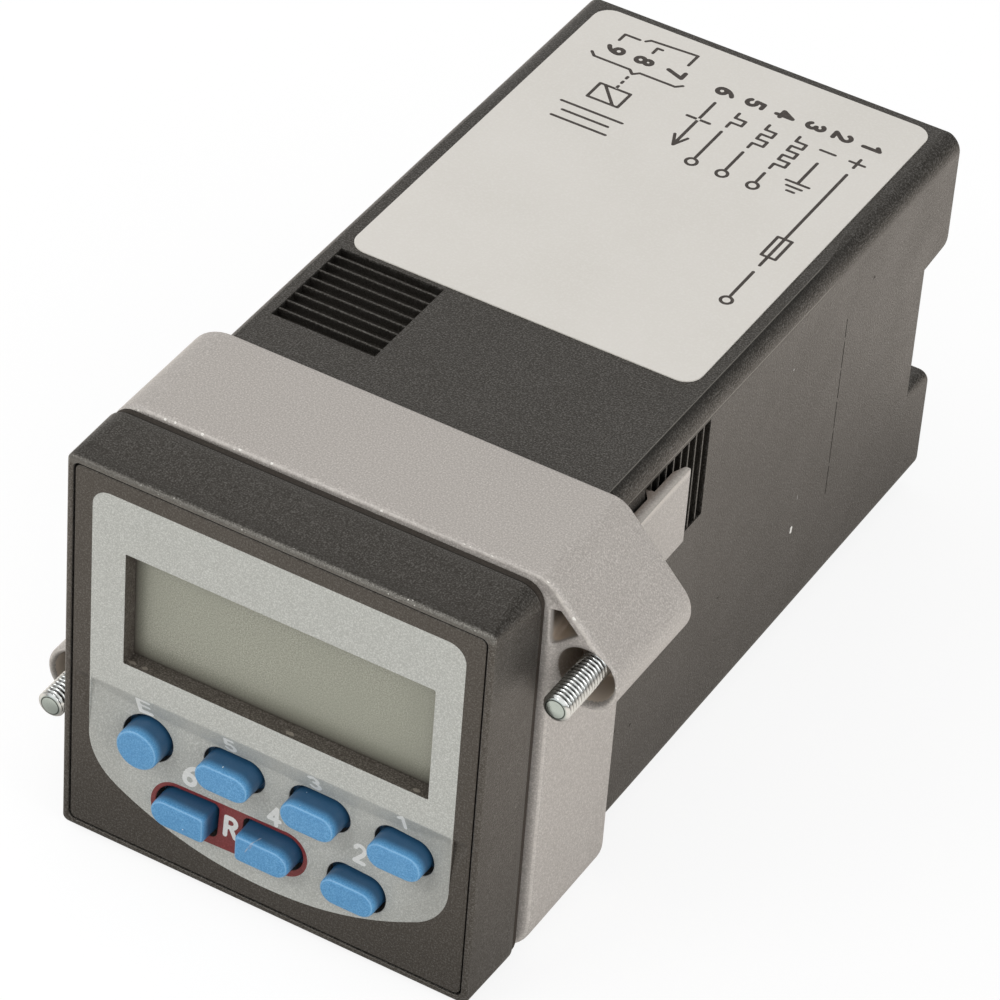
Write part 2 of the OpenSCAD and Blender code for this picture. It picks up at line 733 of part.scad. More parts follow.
// Slotted screw whose tip ends just short of the open wire space
module terminal_screw() {
    difference() {
        union() {
            rod_y(0, clamp_mid, term_screw_d / 2, wire_y + wire_d / 2 + 0.05, term_head_y + e);
            rod_y(0, clamp_mid, term_head_d / 2, term_head_y, term_head_end);
        }
        box([-term_head_d, (term_head_y + term_head_end) / 2, clamp_mid - 0.3],
            [term_head_d, term_head_end + 1, clamp_mid + 0.3]);
    }
}
module terminal_screws_upper() color("#c8c8c4") at_terminals(1) terminal_screw();
module terminal_screws_lower() color("#c8c8c4") at_terminals(-1) terminal_screw();

// Clamp frame

// Direction of the normal of the outer line that touches two circles
function tangent_normal(c1, r1, c2, r2) = let (d = c2 - c1, l = norm(d))
    atan2(d[1], d[0]) + acos((r1 - r2) / l);

// Ear outline: round lobe about the screw, straight slope up to the ring's shoulder
module ear_outline() {
    slope = tangent_normal(shoulder, shoulder_r, lobe, ear_r);
    u = [cos(slope), sin(slope)];
    translate(lobe) circle(ear_r);
    translate(shoulder) circle(shoulder_r);
    polygon([[frame_room / 2 + 0.6, lobe[1] - ear_r - 0.4], lobe - [0, ear_r], lobe + ear_r * u,
        shoulder + shoulder_r * u, shoulder + [0, shoulder_r], [frame_w / 2 - 7, frame_h / 2 - 0.02],
        [frame_w / 2 - 7, shoulder[1]], [frame_room / 2 + 0.6, shoulder[1]]]);
}

// Weight-saving pocket of the ear
module ear_pocket() {
    polygon([[frame_w / 2 - 0.8, frame_h / 2 - 3.2], [frame_w / 2 + 0.2, frame_h / 2 - 3.2],
        [screw_x - 0.8, screw_z + hollow_r + 1.5], [frame_w / 2 - 0.6, screw_z + 2.6]]);
}

// Pawl outline seen along Z: tongue, saw tooth with its steep flank to the rear, thinned tip
module pawl_outline() {
    out = pawl_in + pawl_t;
    apex = case_half - pawl_bite;
    flank = rib_face - 0.1;
    end = rib_face + pawl_tip;
    polygon([[pawl_in, frame_back - 2], [pawl_in, flank - 1.35], [apex, flank - 0.12], [apex, flank],
        [pawl_in, flank], [pawl_in, end - 1.6], [out - 0.6, end - 0.15], [out - 0.5, end], [out - 0.1, end],
        [out, end - 0.15], [out, frame_back + 0.8], [out + 0.8, frame_back - e], [out + 0.8, frame_back - 2]]);
}

module frame_ear() {
    difference() {
        union() {
            hull() {
                along_y(frame_y + 0.4, frame_y + 0.4 + e) offset(delta = -0.32) ear_outline();
                along_y(frame_y + 0.7, frame_y + 0.7 + e) offset(delta = -0.02) ear_outline();
            }
            along_y(frame_y + 0.7, frame_back) ear_outline();
        }
        along_y(frame_y - 1, frame_y + pocket_depth) ear_pocket();
    }
}

module clamp_frame() {
    color("#b0aaa5") difference() {
        union() {
            hull() {
                along_y(frame_y, frame_y + e)
                    rounded(frame_w - 2 * frame_bevel, frame_h - 2 * frame_bevel, frame_corner_r - frame_bevel);
                along_y(frame_y + frame_bevel, frame_y + frame_bevel + e)
                    rounded(frame_w - 0.04, frame_h - 0.04, frame_corner_r - 0.02);
            }
            along_y(frame_y + frame_bevel, frame_back) rounded(frame_w, frame_h, frame_corner_r);
            for (a = [0, 180]) rotate([0, a, 0]) {
                frame_ear();
                along_z(screw_z - pawl_w / 2 + 0.4, screw_z + pawl_w / 2 + 0.4) pawl_outline();
            }
        }
        along_y(frame_y - 1, frame_back + 1) rounded(frame_room, frame_room, frame_room_r);
        for (a = [0, 180]) rotate([0, a, 0]) {
            rod_y(lobe[0] - 0.1, lobe[1] + 0.2, hollow_r, frame_y - 1, frame_y + 0.35 + hollow_depth);
            rod_y(screw_x, screw_z, screw_d / 2 + thread_gap, frame_y, frame_back + 1);
            rod_y(screw_x, screw_z, head_d / 2 + head_gap, counterbore_y, frame_back + 1);
        }
    }
}

// Slotted cheese-head screw with a bevelled tip
module clamp_screw() {
    r = screw_d / 2;
    color("#c9c7c0") translate([screw_x, -screw_out, screw_z]) difference() {
        rotate([-90, 0, 0]) rotate_extrude() polygon([[0, 0], [r - 0.45, 0], [r, 0.45], [r, screw_l],
            [head_d / 2, screw_l], [head_d / 2, screw_l + head_h - 0.3], [head_d / 2 - 0.3, screw_l + head_h],
            [0, screw_l + head_h]]);
        box([-head_d, screw_l + head_h / 2, -0.4], [head_d, screw_l + head_h + 1, 0.4]);
    }
}
module clamp_screw_right() clamp_screw();
module clamp_screw_left() rotate([0, 180, 0]) clamp_screw();

front_bezel();
front_plate();
lcd_glass();
lcd_backlight();
lcd_holder();
lcd_contact_strips();
key_e();
key_1();
key_2();
key_3();
key_4();
key_5();
key_6();
switch_mat();
front_board();
panel_gasket();
case();
signal_board();
relay_board();
board_links();
controller_chip();
quartz();
buffer_capacitor();
relay();
supply_coil();
terminal_block_upper();
terminal_block_lower();
wire_clamps_upper();
wire_clamps_lower();
terminal_screws_upper();
terminal_screws_lower();
rating_label();
clamp_frame();
clamp_screw_right();
clamp_screw_left();
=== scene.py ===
"""Looks of the panel-mounted speed display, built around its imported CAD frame. Lengths are written in mm."""
import bpy
import bmesh
import json
import math
import numpy as np
from mathutils import Matrix, Vector
from mathutils.geometry import delaunay_2d_cdt

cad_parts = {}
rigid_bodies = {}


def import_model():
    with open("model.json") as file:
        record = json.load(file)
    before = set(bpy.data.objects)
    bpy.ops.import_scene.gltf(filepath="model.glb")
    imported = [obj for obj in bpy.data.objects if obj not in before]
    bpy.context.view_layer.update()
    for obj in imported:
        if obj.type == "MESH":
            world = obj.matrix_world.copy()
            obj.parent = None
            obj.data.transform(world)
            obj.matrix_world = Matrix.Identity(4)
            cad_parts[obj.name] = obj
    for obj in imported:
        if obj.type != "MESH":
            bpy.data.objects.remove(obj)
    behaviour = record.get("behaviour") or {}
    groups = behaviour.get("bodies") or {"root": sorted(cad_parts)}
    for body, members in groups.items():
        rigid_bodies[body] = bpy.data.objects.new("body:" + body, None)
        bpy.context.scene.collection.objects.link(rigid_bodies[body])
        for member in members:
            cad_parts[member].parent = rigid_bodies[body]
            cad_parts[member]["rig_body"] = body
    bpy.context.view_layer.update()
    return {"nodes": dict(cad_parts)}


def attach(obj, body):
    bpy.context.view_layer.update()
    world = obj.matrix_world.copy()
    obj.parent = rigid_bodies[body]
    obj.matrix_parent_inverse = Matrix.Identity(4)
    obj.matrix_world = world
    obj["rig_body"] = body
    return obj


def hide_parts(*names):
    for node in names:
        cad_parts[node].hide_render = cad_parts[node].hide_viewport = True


for old in list(bpy.data.objects):
    bpy.data.objects.remove(old)
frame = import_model()
MM = 0.001
NODE = frame["nodes"]

# Sizes shared with the CAD
FRONT_Y, PLATE_BACK, FLANGE_BACK, BOARD_BACK = -7.54, -5.64, -4.84, -1.24
BEZEL_HALF, BEZEL_FRONT_HALF, POCKET_HALF, PLATE_HALF = 24.0, 23.4, 22.7, 22.5
RIM_Y = FRONT_Y - 0.1
FOLD_Z, FOLD_SLOPE = -3.1, math.tan(math.radians(22))
DISH_RIM, DISH_Z, DISH_DEPTH, DISH_POWER = 23.3, 2.74, 1.09, 4.7
WINDOW = (0.43, 7.2, 34.3, 13.7)
KEY_PITCH, KEY_X0, ROW_HIGH, ROW_LOW = 4.86, 0.5, -7.95, -15.2
KEY_W, KEY_H, KEY_GAP, KEY_FLANGE, KEY_FACE = 6.4, 3.5, 0.29, 0.65, -9.05
ROUND_D, ROUND_Z = 5.0, -8.55
KEYS = {"key_5": (-1, 0, 0), "key_3": (1, 0, 0), "key_1": (3, 0, 0),
        "key_6": (-2, 1, 1), "key_4": (0, 1, -1), "key_2": (2, 1, 0)}
CASE_HALF = 22.3
SCREW_X, SCREW_Z = 27.9, 13.85


# Node graphs
def linear(rgb):
    """sRGB 0-255 to linear."""
    return [((v / 255 + 0.055) / 1.055) ** 2.4 if v > 10 else v / 255 / 12.92 for v in rgb]


def add_node(tree, kind, inputs=(), **settings):
    """Adds a node and sets or links its inputs in order."""
    made = tree.nodes.new(kind)
    for key, value in settings.items():
        setattr(made, key, value)
    for socket, value in zip(made.inputs, inputs):
        put(socket, value)
    return made


def put(socket, value):
    """Sets an input to a number, or links it to a value."""
    if isinstance(value, Value):
        value.tree.links.new(value.socket, socket)
    else:
        socket.default_value = value


class Value:
    """The output of a node, which takes plain arithmetic."""

    def __init__(self, tree, socket):
        self.tree, self.socket = tree, socket

    def calc(self, operation, *others):
        made = add_node(self.tree, "ShaderNodeMath", (self, *others), operation=operation)
        return Value(self.tree, made.outputs[0])

    def __add__(self, other):
        return self.calc("ADD", other)

    def __sub__(self, other):
        return self.calc("SUBTRACT", other)

    def __rsub__(self, number):
        made = add_node(self.tree, "ShaderNodeMath", (number, self), operation="SUBTRACT")
        return Value(self.tree, made.outputs[0])

    def __mul__(self, other):
        return self.calc("MULTIPLY", other)

    def __truediv__(self, other):
        return self.calc("DIVIDE", other)

    def __abs__(self):
        return self.calc("ABSOLUTE")

    def largest(self, other):
        return self.calc("MAXIMUM", other)

    def ramp(self, low, high, to_low=0.0, to_high=1.0, smooth=False):
        """Runs from to_low at low to to_high at high."""
        made = add_node(self.tree, "ShaderNodeMapRange", (self, low, high, to_low, to_high), clamp=True)
        if smooth:
            made.interpolation_type = "SMOOTHSTEP"
        return Value(self.tree, made.outputs[0])

    def ramp_mm(self, low, high, *rest):
        """A ramp of a length, with its ends in mm."""
        return self.ramp(low * MM, high * MM, *rest)


def values_of(tree, kind, *names):
    """The named outputs of a new node."""
    made = tree.nodes.new(kind)
    return [Value(tree, made.outputs[name]) for name in names]


# Finishes
GRIT_PALE, GRIT_DARK = (0.5, 0.72), (0.5, 0.28)     # where fine noise turns into paler and darker grains


class Finish:
    """A node material with short calls for its looks; x, y and z are places in the row frame."""

    def __init__(self, name, rgb, rough=0.5, metal=0.0, coat=0.0):
        self.mat = bpy.data.materials.new(name)
        self.mat.use_nodes = True
        self.tree = self.mat.node_tree
        self.bsdf = self.tree.nodes["Principled BSDF"].inputs
        self.base = linear(rgb) + [1]
        for key, value in (("Base Color", self.base), ("Roughness", rough), ("Metallic", metal),
                           ("Coat Weight", coat), ("Coat Roughness", 0.1)):
            self.bsdf[key].default_value = value
        self.place, = values_of(self.tree, "ShaderNodeTexCoord", "Object")
        split = add_node(self.tree, "ShaderNodeSeparateXYZ", (self.place,))
        self.x, self.y, self.z = (Value(self.tree, socket) for socket in split.outputs)

    def noise(self, size, detail=2.0):
        """Noise whose lumps are about size mm across."""
        made = add_node(self.tree, "ShaderNodeTexNoise", (self.place,))
        for key, value in (("Scale", 1 / (size * MM)), ("Detail", detail), ("Roughness", 0.5)):
            made.inputs[key].default_value = value
        return Value(self.tree, made.outputs[0])

    def specks(self, spacing, size, share):
        """1 on small round specks, a share of the cells having one."""
        made = add_node(self.tree, "ShaderNodeTexVoronoi", (self.place,))
        made.inputs["Scale"].default_value = 1 / (spacing * MM)
        near = Value(self.tree, made.outputs["Distance"]).calc("LESS_THAN", size / spacing)
        split = add_node(self.tree, "ShaderNodeSeparateColor", (Value(self.tree, made.outputs["Color"]),))
        return near * Value(self.tree, split.outputs[0]).calc("LESS_THAN", share)

    def mix(self, share, rgb):
        """Lays a colour over the base by share."""
        made = add_node(self.tree, "ShaderNodeMix", (share,), data_type="RGBA")
        put(made.inputs[6], self.base)
        put(made.inputs[7], linear(rgb) + [1])
        self.base = Value(self.tree, made.outputs[2])
        put(self.bsdf["Base Color"], self.base)

    def vary(self, size, rgb, low=0.35, high=0.7, share=1.0):
        """Blotches of a second colour."""
        self.mix(self.noise(size, 3.0).ramp(low, high, 0, share), rgb)

    def grains(self, size, pale, dark):
        """A fine grain of two more tones; its noise is also good for a bump."""
        grit = self.noise(size, 1.0)
        self.mix(grit.ramp(*GRIT_PALE), pale)
        self.mix(grit.ramp(*GRIT_DARK), dark)
        return grit

    def vary_rough(self, size, low, high):
        self.rough = self.noise(size, 3.0).ramp(0.3, 0.7, low, high)
        put(self.bsdf["Roughness"], self.rough)

    def dull(self, share):
        """Takes the gloss off places."""
        self.rough = self.rough + share * 0.5
        self.rough.socket.node.use_clamp = True
        put(self.bsdf["Roughness"], self.rough)

    def bump(self, *layers):
        """Layers of (height, depth in mm), summed into one bump."""
        parts = [height * depth for height, depth in layers]
        made = add_node(self.tree, "ShaderNodeBump")
        made.inputs["Distance"].default_value = MM
        put(made.inputs["Height"], parts[0] if len(parts) == 1 else parts[0] + parts[1])
        put(self.bsdf["Normal"], Value(self.tree, made.outputs[0]))

    def near(self, centre, radii, ragged=0.0):
        """1 inside an ellipsoid about a place."""
        total = None
        for axis, middle, radius in zip((self.x, self.y, self.z), centre, radii):
            part = abs((axis - middle * MM) / (radius * MM)).calc("POWER", 2.0)
            total = total + part if total else part
        if ragged:
            total = total + self.noise(0.3).ramp(0.3, 0.7, -ragged, ragged)
        return total.calc("LESS_THAN", 1.0)


def moulded(name, rgb, rough, grain=0.15, contrast=20, depth=0.03, dust=0.0, tint=None, tones=4):
    """Moulded plastic: faint large tones, a fine spark-eroded grain and some dust."""
    f = Finish(name, rgb, rough)
    if tint:
        f.bsdf["Specular Tint"].default_value = (*tint, 1)
        f.bsdf["IOR"].default_value = 1.58
    f.vary(16.0, [v - tones for v in rgb])
    grit = f.grains(grain, [min(255, v + contrast * 1.6) for v in rgb], [max(0, v - contrast) for v in rgb])
    f.vary_rough(5.0, rough - 0.03, rough + 0.03)
    if dust:
        f.mix(f.specks(1.7, 0.05, dust) * 0.7, (205, 200, 190))
        f.mix(f.specks(3.1, 0.08, dust * 0.6) * 0.8, (214, 210, 200))
    f.bump((grit, depth), (f.noise(12.0, 1.0), 0.008))
    return f


WARM = (1.0, 0.9, 0.78)
DARK_RGB = (50, 48, 45)

f = moulded("bezel_plastic", DARK_RGB, 0.4, 0.16, 24, 0.06, dust=0.05, tint=WARM)
DARK = f.mat
# The upper front edge: a painted highlight in pale blotches, with pale worn specks, most of all towards the
# right
crest = abs(f.x).largest(abs(f.z)).ramp_mm(23.08, 23.16) * f.y.ramp_mm(-7.26, -7.36)
crest = crest * f.z.ramp_mm(22.0, 22.9, 0.08, 1.0) * f.x.ramp_mm(-23.0, 5.0, 0.35, 1.0)
f.mix(crest * f.noise(0.14).ramp(0.45, 0.62, 0.1, 0.6), (150, 148, 142))
f.mix(crest * f.specks(0.4, 0.08, 0.25), (215, 213, 206))
# Painted highlight on the front of the upper rim
f.mix(f.y.ramp_mm(-7.45, -7.55) * f.z.ramp_mm(22.4, 22.55) * 0.35, (112, 112, 108))
# Painted shade on the outer faces just behind the front edge
f.mix(f.y.ramp_mm(-5.2, -6.9, 0, 0.3) * f.y.ramp_mm(-7.25, -7.15), (34, 33, 31))

f = moulded("case_plastic", DARK_RGB, 0.37, 0.17, 26, 0.09, dust=0.02, tint=WARM)
CASE = f.mat
# Painted shade in the roots of the rack teeth, darker deeper in
widest, narrow = abs(f.x).largest(abs(f.z)), abs(f.x).calc("MINIMUM", abs(f.z))
in_rack = f.y.ramp_mm(22.6, 22.7) * f.y.ramp_mm(35.9, 35.8) * narrow.ramp_mm(19.97, 20.03, 1, 0)
f.mix(in_rack * widest.ramp_mm(22.22, 22.0, 0, 0.85), (20, 19, 17))
# Parting lines of the mould on the side, and a painted highlight along the crease on the top
on_side, on_top = f.x.ramp_mm(22.1, 22.2), f.z.ramp_mm(22.0, 22.1)
pale, black = (150, 146, 138), (14, 13, 12)
for axis, at, half, face, rgb, share in ((f.z, 20.3, 0.05, on_side, pale, 0.6),
                                         (f.z, 20.08, 0.06, on_side, black, 0.8),
                                         (f.x, 21.0, 0.05, on_top, pale, 0.7)):
    line = abs(axis - at * MM).ramp_mm(half - 0.03, half + 0.02, share, 0)
    f.mix(line * face * f.y.ramp_mm(63, 60), rgb)
# A pale chip, and small marks on the right side: y, z, their radii and tone
f.mix(f.near((CASE_HALF, 58.0, -9.3), (0.3, 0.24, 0.45), 0.5), (244, 242, 236))
for y, z, ry, rz, tone in ((24.6, -11.5, 0.22, 0.16, 36), (49.1, 17.2, 0.14, 0.14, 30),
                           (71.1, 15.2, 0.16, 0.18, 28), (41.9, -7.1, 0.14, 0.12, 38),
                           (21.3, -9.9, 0.12, 0.16, 36), (53.9, 14.3, 0.12, 0.12, 200),
                           (58.6, -5.4, 0.07, 0.3, 185), (77.0, 3.0, 0.1, 0.1, 180)):
    spot = f.near((CASE_HALF, y, z), (0.2, ry, rz), 0.6)
    f.mix(spot * 0.75, (tone, tone - 2, tone - 5))
    f.dull(spot)
# Painted dark reflection on a strip below the crease of the upper corners
wide = abs(f.x)
band = wide.ramp_mm(21.02, 21.85, 0.85, 0, True) * f.y.ramp_mm(70, 58)
f.mix(band * (wide.ramp_mm(20.95, 21.05) * f.z.ramp_mm(20, 20.5)), (22, 22, 21))

# Painted shade: the faces of the seam groove are near black
GROOVE_SHADE = moulded("case_groove_shade", (20, 19, 18), 0.9, tint=WARM).mat
PLATE = moulded("plate_plastic", (47, 45, 42), 0.46, 0.18, 20, 0.02, dust=0.06, tint=WARM).mat
CLAMP_RGB = (176, 170, 164)
f = moulded("clamp_plastic", CLAMP_RGB, 0.42, 0.16, 15, 0.012, 0.015, tones=3)
CLAMP = f.mat
# Painted highlight along the thin outer edge of the pawls, and painted shade on the face above it
wide, high = abs(f.x), abs(f.z)
ridge = abs(high - 18.55 * MM).ramp_mm(0.1, 0.7, 0.8, 0, True) * f.y.ramp_mm(17, 18)
f.mix(ridge * wide.ramp_mm(23.2, 23.5, 0, 0.7), (214, 207, 198))
upper = high.ramp_mm(18.5, 18.7) * f.y.ramp_mm(16.4, 16.6)
f.mix(upper * wide.ramp_mm(22.6, 23.5, 0.62, 0, True), (112, 94, 80))
# Painted highlight on the rounded front edges of the clamp: pale blotches, and pale specks on its upper part
f = moulded("clamp_edge_highlight", CLAMP_RGB, 0.4, 0.16, 15, 0.012, 0.03)
CLAMP_EDGE_HIGHLIGHT = f.mat
f.mix(f.noise(0.5).ramp(0.35, 0.6, 0.15, 0.55), (214, 208, 200))
f.mix(f.specks(0.6, 0.16, 0.3) * f.z.ramp_mm(11, 14), (238, 235, 228))
# Inside the screw hollows: the clamp plastic darkened as painted shade, with painted light across the outer
# side nearer the middle height, more shade deeper in, and its own colour at the front
f = moulded("clamp_hollow_shaded", (126, 116, 106), 0.5, 0.25, 10, 0.004)
CLAMP_HOLLOW_SHADED = f.mat
f.mix((abs(f.x) - abs(f.z)).ramp_mm(12.6, 14.8, 0, 1, True), (250, 236, 220))
f.mix(f.y.ramp_mm(2.6, 5.5, 0, 0.35), (110, 90, 72))
f.mix(f.y.ramp_mm(2.6, 2.0, 0, 1, True), CLAMP_RGB)
# Inside the pockets: the clamp plastic darkened as painted shade, painted lighter towards the middle height,
# and its own colour at the front
f = moulded("clamp_pocket_shaded", (92, 82, 73), 0.6, 0.25, 8, 0.004)
CLAMP_POCKET_SHADED = f.mat
f.mix(abs(f.z).ramp_mm(19.4, 17.0, 0, 1, True), (206, 190, 172))
f.mix(f.y.ramp_mm(2.4, 1.9, 0, 1, True), CLAMP_RGB)
f = moulded("gasket_rubber", (37, 32, 28), 0.75, 0.2, 10, 0.008, 0.05, tint=WARM)
RUBBER = f.mat
f.mix(f.y.ramp_mm(0.34, 0.26, 0, 0.95), (12, 11, 10))      # shadow gap next to the bezel
BLACK = moulded("black_plastic", (38, 38, 38), 0.5).mat
GREEN = moulded("block_plastic_green", (63, 107, 77), 0.5).mat
f = moulded("grey_ink", (181, 182, 176), 0.42, 0.15, 14, 0.006, 0.012, tones=2)
GREY_INK = f.mat
in_dish = f.z.ramp_mm(FOLD_Z, FOLD_Z - 0.15)
for edge, share in ((13.0, 0.25), (-13.0, 0.13)):      # towards the ends of the dish the print is painted in shade
    f.mix(in_dish * f.x.ramp_mm(edge, edge * 1.4, 0.03, share), (60, 60, 58))
# Walls of the window and the key holes: the plate plastic painted paler, as lit walls
f = moulded("lit_wall", (76, 70, 63), 0.55)
LIT_WALL = f.mat
for x, rx in ((-16.0, 0.5), (-14.6, 0.35), (1.9, 0.45), (16.0, 0.4)):      # pale marks on the lower wall
    f.mix(f.near((x, -6.9, 0.3), (rx, 0.22, 0.3), 0.7) * 0.6, (150, 142, 130))
RED_INK = moulded("red_ink", (120, 42, 43), 0.4, 0.18, 8, 0.002, 0.01).mat
WHITE_INK = moulded("white_ink", (228, 228, 224), 0.4, 0.15, 5, 0.002, tones=2).mat

f = Finish("label_film", (222, 218, 211), 0.36)
LABEL = f.mat
f.vary(14.0, (214, 210, 202), 0.35, 0.75, 0.6)
f.vary(0.25, (228, 225, 219), 0.45, 0.7, 0.5)
f.mix(f.specks(4.0, 0.1, 0.05) * 0.5, (150, 140, 128))
f.bump((f.noise(0.35), 0.0015), (f.noise(10.0), 0.02))
f = Finish("label_print", (58, 50, 44), 0.42)
LABEL_INK = f.mat
f.vary(0.3, (82, 74, 67), 0.5, 0.7, 0.7)

f = Finish("key_blue", (84, 149, 197), 0.34)
KEY_BLUE = f.mat
grit = f.grains(0.13, (108, 168, 212), (64, 130, 180))
f.vary(4.0, (78, 142, 190), 0.4, 0.7, 0.4)
# Painted shade on the sides of the caps, darker deeper in
f.mix(f.y.ramp_mm(-8.85, -7.75, 0, 0.92, True), (34, 72, 104))
# Painted highlight along the front edge of the caps
f.mix(abs(f.y + 8.96 * MM).ramp_mm(0.02, 0.06, 1, 0) * 0.4, (150, 196, 228))
f.mix(f.specks(1.3, 0.05, 0.06) * 0.7, (196, 212, 228))
for x, y, z, rx, rz in ((15.85, -8.85, -8.95, 0.12, 0.08), (17.16, -8.9, -8.95, 0.1, 0.17),
                        (-4.6, -8.2, -6.2, 0.05, 0.3), (4.39, -8.6, -6.2, 0.05, 0.3),
                        (12.4, -9.05, -13.9, 0.1, 0.06), (-8.4, -9.05, -15.9, 0.07, 0.07)):
    f.mix(f.near((x, y, z), (rx, 0.12, rz), 0.5), (215, 224, 230))
# Two scratches over the upper edge of the right R key, along a slanting line through this place
x, y, z = -0.55, -9.04, -13.6
across = (f.x - x * MM) * 0.91 - ((f.z - z * MM) * 0.415 + (f.y - y * MM) * 0.3)
for shift, low, high, rgb in ((0.0, -15.2, -12.0, (176, 174, 176)), (0.163, -14.7, -13.7, (150, 140, 148))):
    stroke = abs(across - shift * MM).ramp_mm(0.03, 0.07, 0.7, 0)
    stroke = stroke * f.noise(0.5, 1.0).ramp(0.4, 0.55, 0.35, 1.0)
    reach = f.z.ramp_mm(low, low + 0.3) * f.z.ramp_mm(high, high - 0.1)
    f.mix(stroke * (reach * (f.y.ramp_mm(-7.8, -7.95) * f.x.ramp_mm(1.2, 1.0))), rgb)
f.vary_rough(1.5, 0.32, 0.42)
f.bump((grit, 0.004), (f.noise(3.0, 1.0), 0.006))

f = Finish("zinc_screw_finish", (205, 203, 196), 0.2, 1.0)
ZINC = f.mat
f.vary(0.8, (176, 172, 162), 0.4, 0.75, 0.7)
f.vary_rough(0.6, 0.12, 0.34)
f.bump((f.noise(0.5), 0.0006))
f = Finish("thread_finish", (206, 209, 208), 0.15, 1.0)
THREAD = f.mat
out_x, out_z = abs(f.x) - SCREW_X * MM, abs(f.z) - SCREW_Z * MM
radius = (out_x * out_x + out_z * out_z).calc("SQRT")
on_thread = f.y.ramp_mm(-2.95, -2.8) * f.y.ramp_mm(14.6, 14.5)
on_tip = f.y.ramp_mm(-3.2, -3.26)
f.vary(0.6, (184, 184, 180), 0.4, 0.75, 0.6)
f.mix(on_tip * 0.8, (160, 174, 170))
f.mix(on_tip * abs(radius - 1.02 * MM).ramp_mm(0.03, 0.09, 0.9, 0), (40, 42, 40))
# Painted shade in the thread valleys
f.mix(on_thread * radius.ramp_mm(1.25, 1.42, 0.9, 0), (52, 49, 43))
f.vary_rough(0.5, 0.1, 0.28)
f = Finish("brass_finish", (201, 162, 90), 0.3, 1.0)
BRASS = f.mat
f.vary(1.0, (170, 132, 70), 0.4, 0.75, 0.7)
f.vary_rough(0.8, 0.22, 0.42)
f = Finish("laminate_green", (40, 98, 62), 0.4, coat=0.4)
LAMINATE = f.mat
f.vary(0.8, (52, 112, 74), 0.4, 0.7, 0.8)
f.bump((f.noise(0.5), 0.01))

f = Finish("lcd_face", (149, 150, 136), 0.34, coat=0.1)
LCD = f.mat
f.grains(0.15, (172, 173, 158), (126, 127, 113))
f.vary(9.0, (145, 147, 132), 0.35, 0.7, 0.6)


def lit_past(axis, edge, reach):
    """Light on the glass beside a wall of the window, which leaves it dark within about reach."""
    dark = ((edge * MM - axis) / (reach * MM)).calc("EXPONENT") * 0.85
    return 1.0 - dark.calc("MINIMUM", 1.0)


x, z, w, h = WINDOW
f.mix(1.0 - lit_past(f.x, x - w / 2, 0.8) * lit_past(f.z, z - h / 2, 1.15), (74, 68, 61))
f.mix(f.specks(2.2, 0.05, 0.05) * 0.6, (196, 194, 182))


# Mesh helpers
def linked(name, data):
    """A new object of some data, in the scene."""
    made = bpy.data.objects.new(name, data)
    bpy.context.scene.collection.objects.link(made)
    return made


def new_object(name, verts, faces, materials, face_material=None, smooth=True):
    """Object of a mesh in mm in the row frame."""
    mesh = bpy.data.meshes.new(name)
    mesh.from_pydata([tuple(float(c) * MM for c in v) for v in verts], [], [list(map(int, q)) for q in faces])
    for m in materials:
        mesh.materials.append(m)
    if face_material is not None:
        mesh.polygons.foreach_set("material_index", np.array(face_material, np.int32))
    mesh.polygons.foreach_set("use_smooth", np.full(len(mesh.polygons), smooth))
    mesh.update()
    return linked(name, mesh)


def outward(made):
    """Turns every face outwards and joins equal points."""
    bm = bmesh.new()
    bm.from_mesh(made.data)
    bmesh.ops.remove_doubles(bm, verts=bm.verts, dist=1e-7)
    bmesh.ops.recalc_face_normals(bm, faces=bm.faces)
    bm.to_mesh(made.data)
    bm.free()
    return made


def sharp(made, degrees):
    """Smooth shading that keeps edges over an angle crisp."""
    made.data.polygons.foreach_set("use_smooth", np.full(len(made.data.polygons), True))
    made.data.set_sharp_from_angle(angle=math.radians(degrees))


def flat_shaded(made, degrees, weight):
    """Smooth shading in which the wide faces stay flat beside their rounded edges."""
    mod = made.modifiers.new("flat faces", "WEIGHTED_NORMAL")
    mod.keep_sharp = True
    mod.weight = weight
    sharp(made, degrees)


def applied(made):
    """Makes the modifiers of an object final."""
    mesh = bpy.data.meshes.new_from_object(made.evaluated_get(bpy.context.evaluated_depsgraph_get()))
    made.modifiers.clear()
    made.data = mesh
    return mesh


def points_of(mesh):
    """Vertices of a mesh in mm."""
    co = np.zeros(len(mesh.vertices) * 3)
    mesh.vertices.foreach_get("co", co)
    return co.reshape(-1, 3) / MM


def softened(node, name, width, materials, segments=2, angle=30, before=None, after=None):
    """A CAD node's shape with every crisp edge rounded by width mm."""
    bm = bmesh.new()
    bm.from_mesh(NODE[node].data)
    bmesh.ops.remove_doubles(bm, verts=bm.verts, dist=2e-6)
    bmesh.ops.dissolve_limit(bm, angle_limit=math.radians(0.6), verts=bm.verts, edges=bm.edges)
    if before:
        before(bm)
    edges = [e for e in bm.edges if len(e.link_faces) == 2 and e.calc_face_angle(0) > math.radians(angle)]
    bmesh.ops.bevel(bm, geom=edges, offset=width * MM, offset_type="OFFSET", segments=segments,
                    profile=0.5, affect="EDGES", clamp_overlap=True, miter_outer="ARC")
    for face in bm.faces:
        face.material_index = 0
    if after:
        after(bm)
    mesh = bpy.data.meshes.new(name)
    bm.to_mesh(mesh)
    bm.free()
    for m in materials:
        mesh.materials.append(m)
    made = linked(name, mesh)
    flat_shaded(made, 40, 60)
    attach(made, NODE[node]["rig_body"])
    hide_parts(node)
    return made


